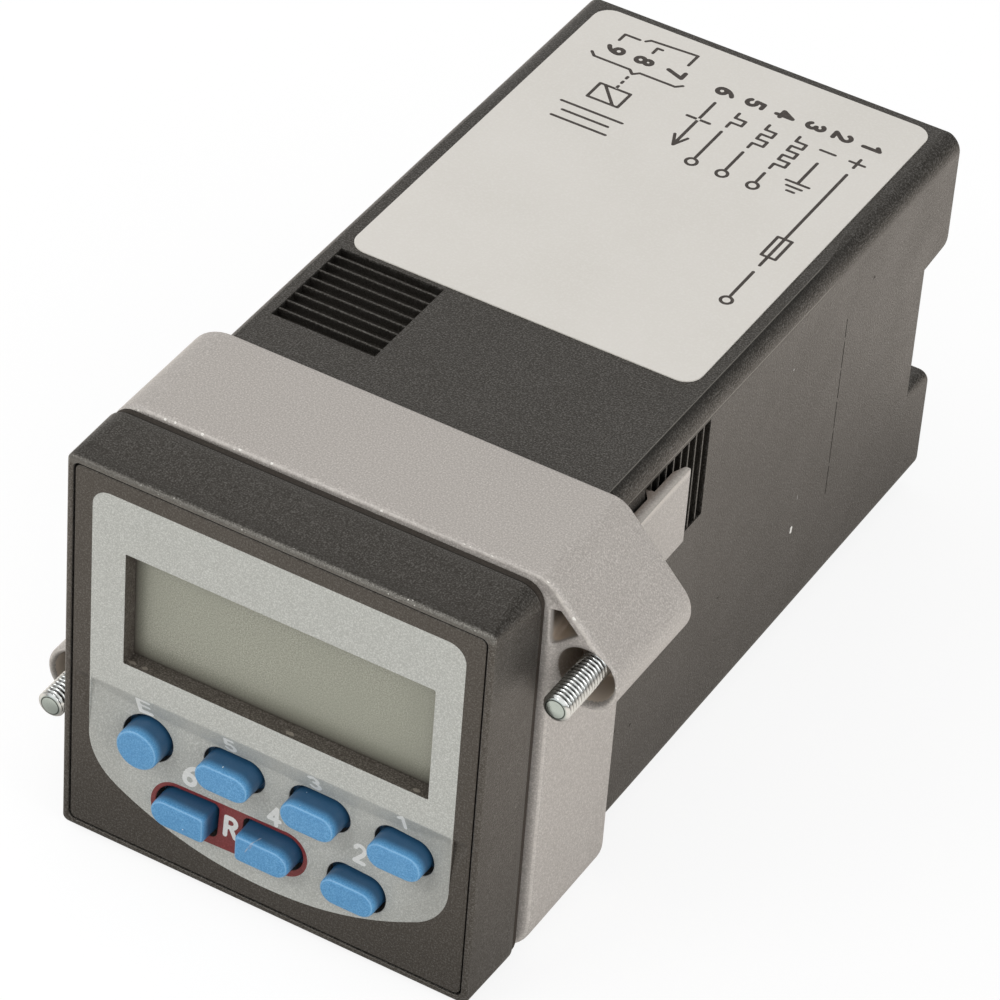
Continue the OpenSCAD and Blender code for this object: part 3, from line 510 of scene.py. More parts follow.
def split_faces(bm, faces, place, normal):
    """Cuts faces where a plane through a place in mm crosses them."""
    geom = faces + list({e for f in faces for e in f.edges}) + list({v for f in faces for v in f.verts})
    bmesh.ops.bisect_plane(bm, geom=geom, dist=1e-7, plane_co=[c * MM for c in place], plane_no=normal)


# Outlines, as lists of (x, z)
def arc(cx, cz, r, turns):
    return [(cx + r * math.cos(a), cz + r * math.sin(a)) for a in turns]


def circle(x, z, r, n=48):
    return arc(x, z, r, [2 * math.pi * i / n for i in range(n)])


def rrect(cx, cz, w, h, radii, n=8):
    """Points of a rounded rectangle, radii from the upper right corner round to the lower right."""
    pts = []
    for k, (sx, sz) in enumerate(((1, 1), (-1, 1), (-1, -1), (1, -1))):
        r = radii[k] if hasattr(radii, "__len__") else radii
        turns = [math.pi / 2 * (k + i / n) for i in range(n + 1)]
        pts += arc(cx + sx * (w / 2 - r), cz + sz * (h / 2 - r), r, turns)
    return pts


def rounded_profile(points, radii, steps):
    """Closed outline with its corners rounded. Points may carry a third value, which is interpolated."""
    pts = [np.array(p, float) for p in points]
    out = []
    for i, (p, r) in enumerate(zip(pts, radii)):
        if not r:
            out.append(p)
            continue
        da, db = pts[i - 1] - p, pts[(i + 1) % len(pts)] - p
        la, lb = np.linalg.norm(da[:2]), np.linalg.norm(db[:2])
        ua, ub = da / la, db / lb
        half = math.acos(max(-1, min(1, float(ua[:2] @ ub[:2])))) / 2
        back = min(r / math.tan(half), la * 0.49, lb * 0.49)
        start, end = p + ua * back, p + ub * back
        for t in np.arange(steps + 1) / steps:
            w = np.array([(1 - t) ** 2, 2 * t * (1 - t) * 0.92, t * t])
            out.append((w[0] * start + w[1] * p + w[2] * end) / w.sum())
    return out


def segment_distance(p, q, points):
    """Distance of each point from a line between two places."""
    d = q - p
    t = np.clip(((points - p) @ d) / max(d @ d, 1e-12), 0, 1)
    return np.hypot(*(points - p - t[:, None] * d).T)


def distance_to(loops, points):
    """Distance of each point from the nearest edge of some closed loops."""
    best = np.full(len(points), 1e9)
    for loop in loops:
        for p, q in zip(np.array(loop), np.roll(loop, -1, axis=0)):
            best = np.minimum(best, segment_distance(p, q, points))
    return best


def inside(loops, points):
    """Even-odd test of each point against some closed loops."""
    found = np.zeros(len(points), bool)
    x, z = points.T
    for loop in loops:
        for (x0, z0), (x1, z1) in zip(np.array(loop), np.roll(loop, -1, axis=0)):
            if z0 != z1:
                found ^= ((z0 > z) != (z1 > z)) & (x < (x1 - x0) * (z - z0) / (z1 - z0) + x0)
    return found


def filled(lines, outer, holes, extra=()):
    """Triangles inside a loop and outside its holes that keep to every line, and their middles."""
    verts, edges = [], []
    for loop in lines:
        start = len(verts)
        verts += [Vector(p) for p in loop]
        edges += [(start + i, start + (i + 1) % len(loop)) for i in range(len(loop))]
    verts += [Vector(p) for p in extra]
    out = delaunay_2d_cdt(verts, edges, [], 0, 1e-5)
    flat, tris = np.array([tuple(v) for v in out[0]]), np.array([list(t) for t in out[2]])
    mid = flat[tris].mean(1)
    keep = inside([outer], mid) & ~inside(holes, mid)
    return flat, tris[keep], mid[keep]


def loft_faces(rows, n, start=0, around=False):
    """Faces between rows of n points that each run round; around joins the last row to the first too."""
    faces = []
    for i in range(rows if around else rows - 1):
        a, b = start + i * n, start + (i + 1) % rows * n
        faces += [(a + j, a + (j + 1) % n, b + (j + 1) % n, b + j) for j in range(n)]
    return faces


def lofted(rows):
    """Points and faces of a body with closed ends."""
    n, last = len(rows[0]), len(rows) - 1
    faces = loft_faces(len(rows), n) + [tuple(range(n)), tuple(range(last * n, last * n + n))]
    return [p for row in rows for p in row], faces


def walls(verts, faces, flat, loop, back):
    """Walls from where a loop runs in a flat net to its points as back places them."""
    places = {(round(x, 4), round(z, 4)): i for i, (x, z) in enumerate(flat)}
    ids = [places[(round(x, 4), round(z, 4))] for x, z in loop]
    n, start = len(loop), len(verts)
    verts += [back(x, z) for x, z in loop]
    faces += [(ids[i], ids[(i + 1) % n], start + (i + 1) % n, start + i) for i in range(n)]


def smooth_min(a, b, k):
    h = np.clip(0.5 + 0.5 * (b - a) / k, 0, 1)
    return b * (1 - h) + a * h - k * h * (1 - h)


def fillet(distance, r):
    """How far a rounded edge falls back at a distance from its rim."""
    gap = np.clip(r - distance, 0, r)
    return r - np.sqrt(np.maximum(r * r - gap * gap, 0))


def forward_normals(depth, points, e):
    """Exact normals at (x, z) points of a front surface whose y is a function of them."""
    dx = (depth(points + (e, 0)) - depth(points - (e, 0))) / (2 * e)
    dz = (depth(points + (0, e)) - depth(points - (0, e))) / (2 * e)
    normals = np.stack([dx, -np.ones_like(dx), dz], 1)
    return normals / np.linalg.norm(normals, axis=1)[:, None]


# Case
CASE_END, RECESS_FLOOR = 89.1, 84.0
CAD_ROUND, CAD_LIP, CAD_LIP_ROUND = 1.1, 9.4, 0.3      # rear edges, half height between the lips, upper lip
REAR_ROUND, LIP_ROUND, LIP_END = 0.3, 1.1, 0.9         # rear edges, lower lip's ends, upper lip's edge
LIP_NEAR, LIP_FAR = 8.1, 8.54               # half height of the wiring recess at its floor and at the rear
SEAM_Y, SEAM_HALF, SEAM_DEPTH = 65.6, 0.075, 0.06
SEAM_PARTS = ((-9.6, -5.9), (-5.5, -1.2), (-0.9, 2.6), (3.1, 6.7), (7.0, 10.4), (10.9, 13.3))
CORNER_AXIS = 20.1
CORNER_R = CASE_HALF - CORNER_AXIS
CREASE_R = 2.62                             # in front the upper corners start with a crease
CREASE_X, CREASE_Z, CREASE_TURN = CASE_HALF - CREASE_R, 20.02, math.radians(30)
CREASE_FROM, CREASE_TO = 62.5, 68.0         # y where the crease starts to fade, and where it is gone


def crease_corners(bm):
    """Narrows the round of the upper front corners, so that it starts with a crease on the top."""
    def on_corner(v):
        return abs(v.co.x) > (CORNER_AXIS - 0.02) * MM and v.co.z > (CORNER_AXIS - 0.02) * MM

    for y in (CREASE_FROM, CREASE_TO):
        faces = [f for f in bm.faces if all(on_corner(v) for v in f.verts) and abs(f.normal.y) < 0.05]
        split_faces(bm, faces, (0, y, 0), (0, 1, 0))
    for v in bm.verts:
        x, z = abs(v.co.x) / MM - CORNER_AXIS, v.co.z / MM - CORNER_AXIS
        out = math.hypot(x, z)
        if on_corner(v) and v.co.y < (CREASE_FROM + 0.01) * MM and abs(out - CORNER_R) < 0.05:
            turn = CREASE_TURN + math.atan2(x, z) * 2 / 3
            grow = out / CORNER_R * CREASE_R
            x, z = CREASE_X + grow * math.sin(turn), min(CREASE_Z + grow * math.cos(turn), CASE_HALF)
            if turn < CREASE_TURN + 0.0002:
                z = CASE_HALF
            v.co.x, v.co.z = math.copysign(x, v.co.x) * MM, z * MM


def shape_rear(bm):
    """Crisper rear edges, and terminal lips that close in a little towards the rear."""
    for v in bm.verts:
        x, y, z = (c / MM for c in v.co)
        side = 1 if z > 0 else -1
        lip_top = CAD_LIP + (CAD_ROUND + 0.02 if abs(x) > CASE_HALF - 0.1 else 0.05)
        if y > CASE_END - CAD_ROUND - 0.01 and abs(z) > CASE_HALF - CAD_ROUND - 0.05:
            over = max(abs(z) - (CASE_HALF - REAR_ROUND), 0)
            y = CASE_END - REAR_ROUND + math.sqrt(max(REAR_ROUND ** 2 - over ** 2, 0))
        elif y > RECESS_FLOOR - 0.01 and CAD_LIP - 0.8 < abs(z) < lip_top:
            y = max(y, RECESS_FLOOR)
            r_old, r_new = (CAD_LIP_ROUND, LIP_END) if side > 0 else (CAD_ROUND, REAR_ROUND)
            if y > CASE_END - r_old - 0.01:       # arc at the rear end of the lip
                turn = math.atan2(y - (CASE_END - r_old), CAD_LIP + r_old - abs(z))
                y = CASE_END - r_new + r_new * math.sin(turn)
                z = side * (LIP_FAR + r_new - r_new * math.cos(turn))
            else:
                z = side * (LIP_NEAR + (LIP_FAR - LIP_NEAR) * (y - RECESS_FLOOR) / (CASE_END - RECESS_FLOOR))
        v.co = (x * MM, y * MM, z * MM)


def round_lip(bm):
    """Rounds the lower lip over at its two ends."""
    low, high = -(LIP_FAR + REAR_ROUND + 0.01) * MM, -(LIP_NEAR - 0.01) * MM

    def on_lip(v):
        return v.co.y > (RECESS_FLOOR - 0.01) * MM and low < v.co.z < high

    start = CASE_HALF - LIP_ROUND
    for turn in np.linspace(0, math.pi / 2, 8)[:-1]:
        for s in (1, -1):
            faces = [f for f in bm.faces if all(on_lip(v) for v in f.verts)
                     and abs(f.normal.x) < 0.05 and f.normal.y > -0.5]
            split_faces(bm, faces, (s * (start + LIP_ROUND * math.sin(turn)), 0, 0), (1, 0, 0))
    for v in bm.verts:
        over = abs(v.co.x) / MM - start
        if on_lip(v) and over > 0.001:
            v.co.z -= (LIP_ROUND - math.sqrt(max(LIP_ROUND ** 2 - min(over, LIP_ROUND) ** 2, 0))) * MM


def reshape_case(bm):
    crease_corners(bm)
    shape_rear(bm)
    round_lip(bm)


def cut_seam(bm):
    """Sinks the broken seam line across the right side as a fine groove."""
    def in_band(f):
        return f.normal.x > 0.999 and abs(f.calc_center_median().y / MM - SEAM_Y) < SEAM_HALF

    for y in (SEAM_Y - SEAM_HALF, SEAM_Y + SEAM_HALF):
        split_faces(bm, [f for f in bm.faces if f.normal.x > 0.999], (0, y, 0), (0, 1, 0))
    for z in sum(SEAM_PARTS, ()):
        split_faces(bm, [f for f in bm.faces if in_band(f)], (0, 0, z), (0, 0, 1))
    low = [f for f in bm.faces if in_band(f)
           and any(a < f.calc_center_median().z / MM < b for a, b in SEAM_PARTS)]
    made = bmesh.ops.extrude_face_region(bm, geom=low)["geom"]
    moved = [g for g in made if isinstance(g, bmesh.types.BMVert)]
    bmesh.ops.translate(bm, vec=(-SEAM_DEPTH * MM, 0, 0), verts=moved)
    bmesh.ops.delete(bm, geom=low, context="FACES")
    for f in bm.faces:
        c = f.calc_center_median() / MM
        sunk = 0.005 < CASE_HALF - c.x < SEAM_DEPTH + 0.01
        if sunk and abs(c.y - SEAM_Y) < SEAM_HALF + 0.01:
            f.material_index = 1


def build_case():
    made = softened("case", "case_shell", 0.12, [CASE, GROOVE_SHADE], 2, 36, reshape_case, cut_seam)
    # the long corners keep their exact normals
    mesh = applied(made)
    normals = [n.vector.copy() for n in mesh.corner_normals]
    for poly in mesh.polygons:
        c = poly.center / MM
        if min(abs(c.x), abs(c.z)) < CREASE_Z - 0.02 or abs(poly.normal.y) > 0.1:
            continue
        if min(abs(poly.normal.x), abs(poly.normal.z)) < 0.02:
            continue
        for loop in poly.loop_indices:
            x, y, z = mesh.vertices[mesh.loops[loop].vertex_index].co / MM
            creased = z > 0 and y < CREASE_FROM + 0.1
            ax, az, r = (CREASE_X, CREASE_Z, CREASE_R) if creased else (CORNER_AXIS, CORNER_AXIS, CORNER_R)
            dx, dz = abs(x) - ax, abs(z) - az
            if abs(math.hypot(dx, dz) - r) < 0.03:
                out = Vector((math.copysign(max(dx, 0), x), 0, math.copysign(max(dz, 0), z)))
                normals[loop] = out.normalized()
    mesh.normals_split_custom_set(normals)


def ring_loft(name, profile, materials, n):
    """Closed profile of (half side, depth, corner radius) carried round a rounded square."""
    rows = [[(x, y, z) for x, z in rrect(0, 0, 2 * h, 2 * h, max(r, 0.02), n)] for h, y, r in profile]
    faces = loft_faces(len(rows), len(rows[0]), around=True)
    return outward(new_object(name, [p for row in rows for p in row], faces, materials))


# Printed characters
def bend(cx, cz, r, a0, a1, n=14):
    """Points of an arc between two turns in degrees."""
    return arc(cx, cz, r, [math.radians(a0 + (a1 - a0) * i / n) for i in range(n + 1)])


GLYPHS = {  # width, and strokes in a box one high
    "1": (0.46, [[(0.08, 0.74), (0.3, 0.91), (0.3, 0.09)]]),
    "2": (0.62, [bend(0.31, 0.69, 0.22, 165, -25) + [(0.46, 0.5), (0.09, 0.09), (0.54, 0.09)]]),
    "3": (0.6, [bend(0.29, 0.71, 0.195, 150, -90) + bend(0.29, 0.305, 0.215, 90, -150)]),
    "4": (0.64, [[(0.43, 0.09), (0.43, 0.91), (0.08, 0.33), (0.58, 0.33)]]),
    "5": (0.6, [[(0.5, 0.91), (0.15, 0.91), (0.12, 0.52)] + bend(0.29, 0.33, 0.235, 125, -150)]),
    "6": (0.62, [bend(0.31, 0.31, 0.22, 0, 360, 24), bend(0.72, 0.31, 0.63, 180, 112)]),
    "7": (0.58, [[(0.08, 0.91), (0.52, 0.91), (0.22, 0.09)]]),
    "8": (0.6, [bend(0.3, 0.7, 0.185, 0, 360, 24), bend(0.3, 0.3, 0.215, 0, 360, 24)]),
    "9": (0.62, [bend(0.31, 0.69, 0.22, 0, 360, 24), bend(-0.1, 0.69, 0.63, 0, -68)]),
    "E": (0.72, [[(0.63, 0.91), (0.1, 0.91), (0.1, 0.09), (0.63, 0.09)], [(0.1, 0.51), (0.57, 0.51)]]),
    "R": (0.62, [[(0.1, 0.09), (0.1, 0.91), (0.32, 0.91)] + bend(0.32, 0.7, 0.21, 90, -90)
                 + [(0.1, 0.49)], [(0.32, 0.49), (0.54, 0.09)]]),
}


def stroke_outline(strokes, half, step):
    """Closed outlines of round-ended strokes, read off a fine field of distances."""
    pts = np.array([p for s in strokes for p in s])
    low, high = pts.min(0) - half - 2 * step, pts.max(0) + half + 2 * step
    nx, nz = (np.ceil((high - low) / step).astype(int) + 1)
    gx, gz = low[0] + step * np.arange(nx), low[1] + step * np.arange(nz)
    grid = np.array([(x, z) for z in gz for x in gx])
    field = np.full(len(grid), 1e9)
    for s in strokes:
        for p, q in zip(np.array(s[:-1]), np.array(s[1:])):
            field = np.minimum(field, segment_distance(p, q, grid))
    field = (field - half).reshape(nz, nx)

    def crossing(a, b):
        """Place between two grid points where the field is nought."""
        t = field[a] / (field[a] - field[b])
        return gx[a[1]] + (gx[b[1]] - gx[a[1]]) * t, gz[a[0]] + (gz[b[0]] - gz[a[0]]) * t

    links, places = {}, {}
    for i in range(nz - 1):
        for j in range(nx - 1):
            ring = ((i, j), (i, j + 1), (i + 1, j + 1), (i + 1, j))
            starts, ends = [], []
            for a, b in zip(ring, ring[1:] + ring[:1]):
                if (field[a] < 0) != (field[b] < 0):
                    key = (min(a, b), max(a, b))
                    places[key] = crossing(*key)
                    (starts if field[a] < 0 else ends).append(key)
            for a, b in zip(starts, ends if len(starts) == 1 else ends[::-1]):
                links[a] = b
    loops = []
    while links:
        key, at = next(iter(links.items()))
        loop = [key]
        del links[key]
        while at in links:
            loop.append(at)
            at = links.pop(at)
        loops.append([places[k] for k in loop])
    return loops


def simpler(loop, tolerance):
    """Closed loop with the points that change it least left out."""
    def reduce(pts):
        if len(pts) < 3:
            return pts
        p, q = pts[0], pts[-1]
        d = q - p
        off = np.abs(d[0] * (pts[:, 1] - p[1]) - d[1] * (pts[:, 0] - p[0])) / max(np.hypot(*d), 1e-9)
        k = int(off.argmax())
        if off[k] < tolerance:
            return np.array([p, q])
        return np.vstack([reduce(pts[:k + 1])[:-1], reduce(pts[k:])])

    pts = np.array(loop)
    k = int(np.hypot(*(pts - pts[0]).T).argmax())
    halves = (pts[:k + 1], np.vstack([pts[k:], pts[:1]]))
    return [tuple(p) for part in halves for p in reduce(part)[:-1]]


OUTLINES = {}


def character(c, x, z, height, weight, turn=0.0):
    """Loops of a character whose middle is at (x, z), turned by degrees."""
    width, strokes = GLYPHS[c]
    key = (c, weight)
    if key not in OUTLINES:
        OUTLINES[key] = [simpler(loop, 0.006) for loop in stroke_outline(strokes, weight, 0.02)]
    ca, sa = math.cos(math.radians(turn)), math.sin(math.radians(turn))
    out = []
    for loop in OUTLINES[key]:
        local = [((u - width * 0.5) * height, (v - 0.5) * height) for u, v in loop]
        out.append([(x + u * ca - v * sa, z + u * sa + v * ca) for u, v in local])
    return out


# Front bezel
def build_bezel():
    seat, collar_in, collar_out, collar_end = 20.8, 18.9, 20.1, 6.0
    points = [  # (half side, depth, corner radius), outside first
        (BEZEL_HALF, 0.0, 2.5), (BEZEL_HALF, -0.8, 2.5), (BEZEL_FRONT_HALF, RIM_Y, 0.6),
        (POCKET_HALF, RIM_Y, 0.8), (POCKET_HALF, PLATE_BACK, 0.8), (seat, PLATE_BACK, 0.6),
        (seat, BOARD_BACK, 0.6), (collar_in, BOARD_BACK, 0.6), (collar_in, collar_end, 0.6),
        (collar_out, collar_end, 0.8), (collar_out, 0.0, 0.8)]
    radii = [0.15, 0.5, 0.42, 0.16, 0, 0.1, 0, 0.1, 0.1, 0.2, 0]
    made = ring_loft("bezel_shell", rounded_profile(points, radii, 5), [DARK], 12)
    sharp(made, 50)
    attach(made, "housing")
    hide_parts("front_bezel")


# Front plate with its printing
PLATE_EDGE = 0.09                           # round of the plate's rims
LEGENDS = (("E", -14.45, -4.44, 2.37), ("5", -4.69, -4.52, 2.26), ("3", 4.94, -4.38, 2.43),
           ("1", 14.82, -4.2, 2.28), ("6", -9.23, -11.02, 2.7), ("4", 0.4, -11.44, 2.49),
           ("2", 10.18, -11.11, 2.44))       # character, x, z and height


def dish_depth(points):
    """Depth of the keypad dish under the front plane, with the two surfaces blended a little."""
    x, z = points.T
    bowl = DISH_DEPTH * (1 - (np.hypot(x, z - DISH_Z) / DISH_RIM) ** DISH_POWER)
    slope = (FOLD_Z - z) * FOLD_SLOPE
    return -smooth_min(-smooth_min(bowl, slope, 0.15), 0, 0.03)


def field_outline():
    """Outline of the grey field on the front."""
    right, left, top, r_top = 20.6, -20.5, 20.6, 2.0
    pts = arc(right - r_top, top - r_top, r_top, np.linspace(0, math.pi / 2, 9))
    pts += arc(left + r_top, top - r_top, r_top, np.linspace(math.pi / 2, math.pi, 9))
    r, cx, cz, big, bz = 6.5, 14.0, -10.0, 34.2, 13.9
    touch = math.atan2(cz - bz, cx)
    pts += arc(-cx + 0.05, cz, -r, np.linspace(0, -touch, 11))
    pts += arc(0, bz, big, np.linspace(-math.pi - touch, touch, 31)[1:-1])
    return pts + arc(cx + 0.05, cz, r, np.linspace(touch, 0, 11))


def key_place(name):
    column, row, square_end = KEYS[name]
    return KEY_X0 + column * KEY_PITCH, (ROW_HIGH, ROW_LOW)[row], square_end


def key_outline(name, grow, n=10):
    """Outline of a key, moved outwards by grow."""
    if name == "key_e":
        return circle(KEY_X0 - 3 * KEY_PITCH, ROUND_Z, ROUND_D / 2 + grow, 44)
    x, z, square_end = key_place(name)
    w, h = KEY_W + 2 * grow, KEY_H + 2 * grow
    round_r, square_r = h / 2 - 0.001, 0.4 + max(grow, 0)
    right = square_r if square_end == 1 else round_r
    left = square_r if square_end == -1 else round_r
    return rrect(x, z, w, h, (right, left, left, right), n)


def plate_loops(inset):
    """Outlines of the plate, its window and its key holes, moved into the plate by inset."""
    side = 2 * (PLATE_HALF - inset)
    x, z, w, h = WINDOW
    loops = [rrect(0, 0, side, side, 0.7 - inset, 6)]
    loops.append(rrect(x, z, w + 2 * inset, h + 2 * inset, 0.15 + inset, 3))
    return loops + [key_outline(name, KEY_GAP + inset) for name in (*KEYS, "key_e")]


def build_plate():
    loops = plate_loops(0)
    plate, holes = loops[0], loops[1:]
    field = field_outline()
    x6, x4 = key_place("key_6")[0], key_place("key_4")[0]
    pill = rrect((x6 + x4) / 2, ROW_LOW - 0.1, x4 - x6 + 8.0, 5.2, 2.59, 10)
    letters = [loop for c, x, z, h in LEGENDS for loop in character(c, x, z, h, 0.095)]
    letters += character("R", (x6 + x4) / 2 + 0.05, ROW_LOW, 2.6, 0.1)
    # a fine net over the dish and a wide one over the rest
    step, side = 0.36, 22.3
    ranks = enumerate(np.arange(-side, FOLD_Z + 0.8, step * 0.87))
    grid = [(x + (step / 2 if k % 2 else 0), z) for k, z in ranks for x in np.arange(-side, side, step)]
    grid = np.array(grid + [(x, z) for z in np.arange(-1.5, side, 2.2) for x in np.arange(-22, side, 2.2)])
    lines = loops + plate_loops(0.03) + plate_loops(PLATE_EDGE) + [field, pill] + letters
    grid = grid[distance_to(lines, grid) > 0.12]
    flat, tris, mid = filled(lines, plate, holes, grid)
    kind = np.where(inside([field], mid), 1, 0)
    kind[inside([pill], mid)] = 2
    kind[inside(letters, mid)] = 3
    y = FRONT_Y + dish_depth(flat) + fillet(distance_to(loops, flat), PLATE_EDGE)
    verts = [(x, yy, z) for (x, z), yy in zip(flat, y)]
    faces = [tuple(t) for t in tris]
    colour = list(kind)
    # walls and back
    for loop in loops:
        walls(verts, faces, flat, loop, lambda x, z: (x, PLATE_BACK, z))
        colour += [4 if loop is not plate else 0] * len(loop)
    back, back_tris, mid = filled(loops, plate, holes)
    start = len(verts)
    verts += [(x, PLATE_BACK, z) for x, z in back]
    faces += [tuple(start + t) for t in back_tris]
    colour += [0] * len(back_tris)
    made = new_object("face_plate", verts, faces, [PLATE, GREY_INK, RED_INK, WHITE_INK, LIT_WALL], colour)
    # exact normals on the front, so that the printing's triangles don't show
    mesh = outward(made).data
    places = points_of(mesh)[:, [0, 2]]
    up = forward_normals(dish_depth, places, 0.01)
    flat_zone = distance_to(loops, places) > PLATE_EDGE - 0.005
    normals = []
    for poly in mesh.polygons:
        own = np.array(poly.normal)
        front = own[1] < -0.8 and flat_zone[list(poly.vertices)].all()
        for v in poly.vertices:
            normals.append(up[v] if front else (up[v] * 0.5 + own * 0.5 if own[1] < -0.3 else own))
    mesh.normals_split_custom_set([tuple(n / np.linalg.norm(n)) for n in np.array(normals)])
    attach(made, "housing")
    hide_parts("front_plate")


# Keys
CAP_ROUND, CAP_SLIM, CAP_CROWN = 0.34, 0.16, 0.015      # front edge, draft at the face, and fall of the face


def build_key(name):
    """Cap with a soft front edge and its flange, from rounded outlines at several depths."""
    flange, bevel, r = KEY_GAP + KEY_FLANGE, 0.06, CAP_ROUND
    sections = [(-1.25, KEY_FACE), (-0.9, KEY_FACE + 0.004)]
    sections += [(-r - CAP_SLIM + r * math.sin(a), KEY_FACE + CAP_CROWN + r - r * math.cos(a))
                 for a in np.linspace(0.0, math.pi / 2, 8)]
    sections += [(-0.1, PLATE_BACK), (flange - bevel, PLATE_BACK), (flange, PLATE_BACK + bevel),
                 (flange, FLANGE_BACK - bevel), (flange - bevel, FLANGE_BACK), (-0.6, FLANGE_BACK)]
    rows = [[(x, y, z) for x, z in key_outline(name, grow, 9)] for grow, y in sections]
    made = outward(new_object(name + "_cap", *lofted(rows), [KEY_BLUE]))
    sharp(made, 50)
    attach(made, name)
    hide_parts(name)


# Clamp screws
def build_screw(side):
    """M3 screw with a real thread; side is 1 on the right, -1 on the left."""
    pitch, major, minor, n, steps = 0.5, 1.5, 1.22, 40, 10
    tip, under_head, head_r, head_h = -3.3, 14.7, 2.5, 2.0
    length, top = under_head + 0.1 - tip, under_head + head_h
    count = int(length / pitch * steps)
    rows = []
    for k in range(count + 1):
        y = tip + length * k / count
        row = []
        for j in range(n):
            a = 2 * math.pi * j / n
            t = ((y - tip) / pitch - j / n) % 1.0
            rise = min(1.0, max(0.0, 1.35 * (1 - abs(2 * t - 1)) - 0.15))
            r = min(minor + (major - minor) * rise, major - 0.46 + (y - tip) * 1.9)
            row.append((r * math.cos(a), y, r * math.sin(a)))
        rows.append(row)
    verts, faces = lofted(rows)
    # the head is a lathed disc just clear of its seat
    seat = under_head + 0.02
    profile = [(0.001, seat), (head_r - 0.1, seat), (head_r, seat + 0.1), (head_r, top - 0.35),
               (head_r - 0.1, top - 0.12), (head_r - 0.35, top), (0.001, top)]
    m = 64
    faces += loft_faces(len(profile), m, len(verts))
    verts += [(x, y, z) for r, y in profile for x, z in circle(0, 0, r, m)]
    verts = [(side * (x + SCREW_X), y, side * (z + SCREW_Z)) for x, y, z in verts]
    made = outward(new_object("screw_" + ("right" if side > 0 else "left"), verts, faces, [THREAD]))
    # the slot
    cut = bpy.data.meshes.new("slot")
    bm = bmesh.new()
    middle = Matrix.Translation((side * SCREW_X * MM, (top + 0.5) * MM, side * SCREW_Z * MM))
    bmesh.ops.create_cube(bm, size=1.0, matrix=middle @ Matrix.Diagonal((8 * MM, 3.0 * MM, 0.8 * MM, 1)))
    bm.to_mesh(cut)
    bm.free()
    cutter = linked("slot", cut)
    mod = made.modifiers.new("slot", "BOOLEAN")
    mod.operation, mod.object, mod.solver = "DIFFERENCE", cutter, "EXACT"
    bpy.context.view_layer.update()
    applied(made)
    bpy.data.objects.remove(cutter)
    sharp(made, 40)
    body = "clamp_screw_right" if side > 0 else "clamp_screw_left"
    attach(made, body)
    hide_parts(body)


# Clamp frame
RING, ROOM = (49.8, 48.0, 4.8), (45.1, 45.1, 2.45)      # width, height and corner radius, outside and inside
RING_FRONT, EAR_FRONT, FRAME_BACK, MIDDLE = 1.35, 1.7, 16.0, 8.0
RING_ROUND, EAR_ROUND, HOLE_ROUND, BACK_ROUND = 0.85, 0.6, 0.8, 0.35
ROOM_ROUND, POCKET_ROUND, BORE_ROUND = 0.25, 0.18, 0.15
LOBE, LOBE_R, SHOULDER_R = (28.1, 13.95), 3.6, 3.0
HOLLOW, HOLLOW_FLOOR = (28.0, 14.15, 3.05), 6.5         # centre and radius
BORE_R, BORE_FLOOR, HOLE_R = 2.8, 12.0, 1.55
POCKET = ((24.3, 16.45), (27.1, 18.75), (25.1, 20.8), (24.12, 20.8))
POCKET_FLOOR = RING_FRONT + 5.5
PAWL_LOW, PAWL_HIGH, PAWL_ROUND = 9.675, 18.825, 0.5


def turned(loop):
    return [(-x, -z) for x, z in loop]


def frame_outline():
    """Ring with its two ears, going round to the left from the middle of the top."""
    w, h, r = RING
    sx, sz = w / 2 - 2.63, h / 2 - SHOULDER_R
    d = np.array(LOBE) - (sx, sz)
    a = math.atan2(d[1], d[0]) + math.acos((SHOULDER_R - LOBE_R) / np.hypot(*d))
    foot = LOBE[1] - LOBE_R - 0.76
    half = [(w / 2, z) for z in np.linspace(-h / 2 + r, foot, 12)]
    half += [(w / 2 + 0.5 - 0.5 * math.cos(t), foot + 0.5 * math.sin(t))
             for t in np.linspace(0.2, math.pi / 2 - 0.1, 5)]
    half += arc(*LOBE, LOBE_R, np.linspace(-1.45, a, 30))
    half += arc(sx, sz, SHOULDER_R, np.linspace(a, math.pi / 2, 10))
    half += [(-(w / 2 - r) - r * math.sin(t), h / 2 - r + r * math.cos(t))
             for t in np.linspace(0, math.pi / 2, 12)[:-1]]
    return half + turned(half)


def offset_loop(loop, amount):
    """Loop moved by amount to its left, which is inwards where it runs counterclockwise."""
    pts = np.array(loop)
    ahead = np.roll(pts, -1, axis=0) - pts
    ahead /= np.hypot(*ahead.T)[:, None]
    left = np.stack([-ahead[:, 1], ahead[:, 0]], 1)
    both = left + np.roll(left, 1, axis=0)
    both *= (2 / np.maximum((both ** 2).sum(1), 0.8))[:, None]
    return [tuple(p) for p in pts + both * amount]


def into_rect(points, w, h, r):
    """Distance of points inside a rounded rectangle from its edge, negative outside."""
    q = np.abs(points) - (w / 2 - r, h / 2 - r)
    return r - np.hypot(*np.maximum(q, 0).T) - np.minimum(q.max(1), 0)


def slab_face(outer, holes, rounds, height, spacing):
    """Points, depths and triangles of a face whose rims are rounded: outer and the holes by their rounds."""
    loops = [outer] + holes
    rings = []
    for loop, r in zip(loops, rounds):
        for t in (0.06, 0.2, 0.45, 0.72, 1.0):
            back = r * (1 - math.cos(t * math.pi / 2)) if t < 1 else r
            rings.append(offset_loop(loop, back if loop is outer else -back))
    low, high = np.min(outer, 0), np.max(outer, 0)
    columns, ranks = (np.arange(low[k], high[k], spacing) for k in (0, 1))
    grid = np.array([(x, z) for x in columns for z in ranks])
    grid = grid[inside([outer], grid) & ~inside(holes, grid)]
    grid = grid[distance_to(loops + rings, grid) > 0.3 * spacing]
    flat, tris, _ = filled(loops + rings, outer, holes, grid)
    return flat, height(flat), tris


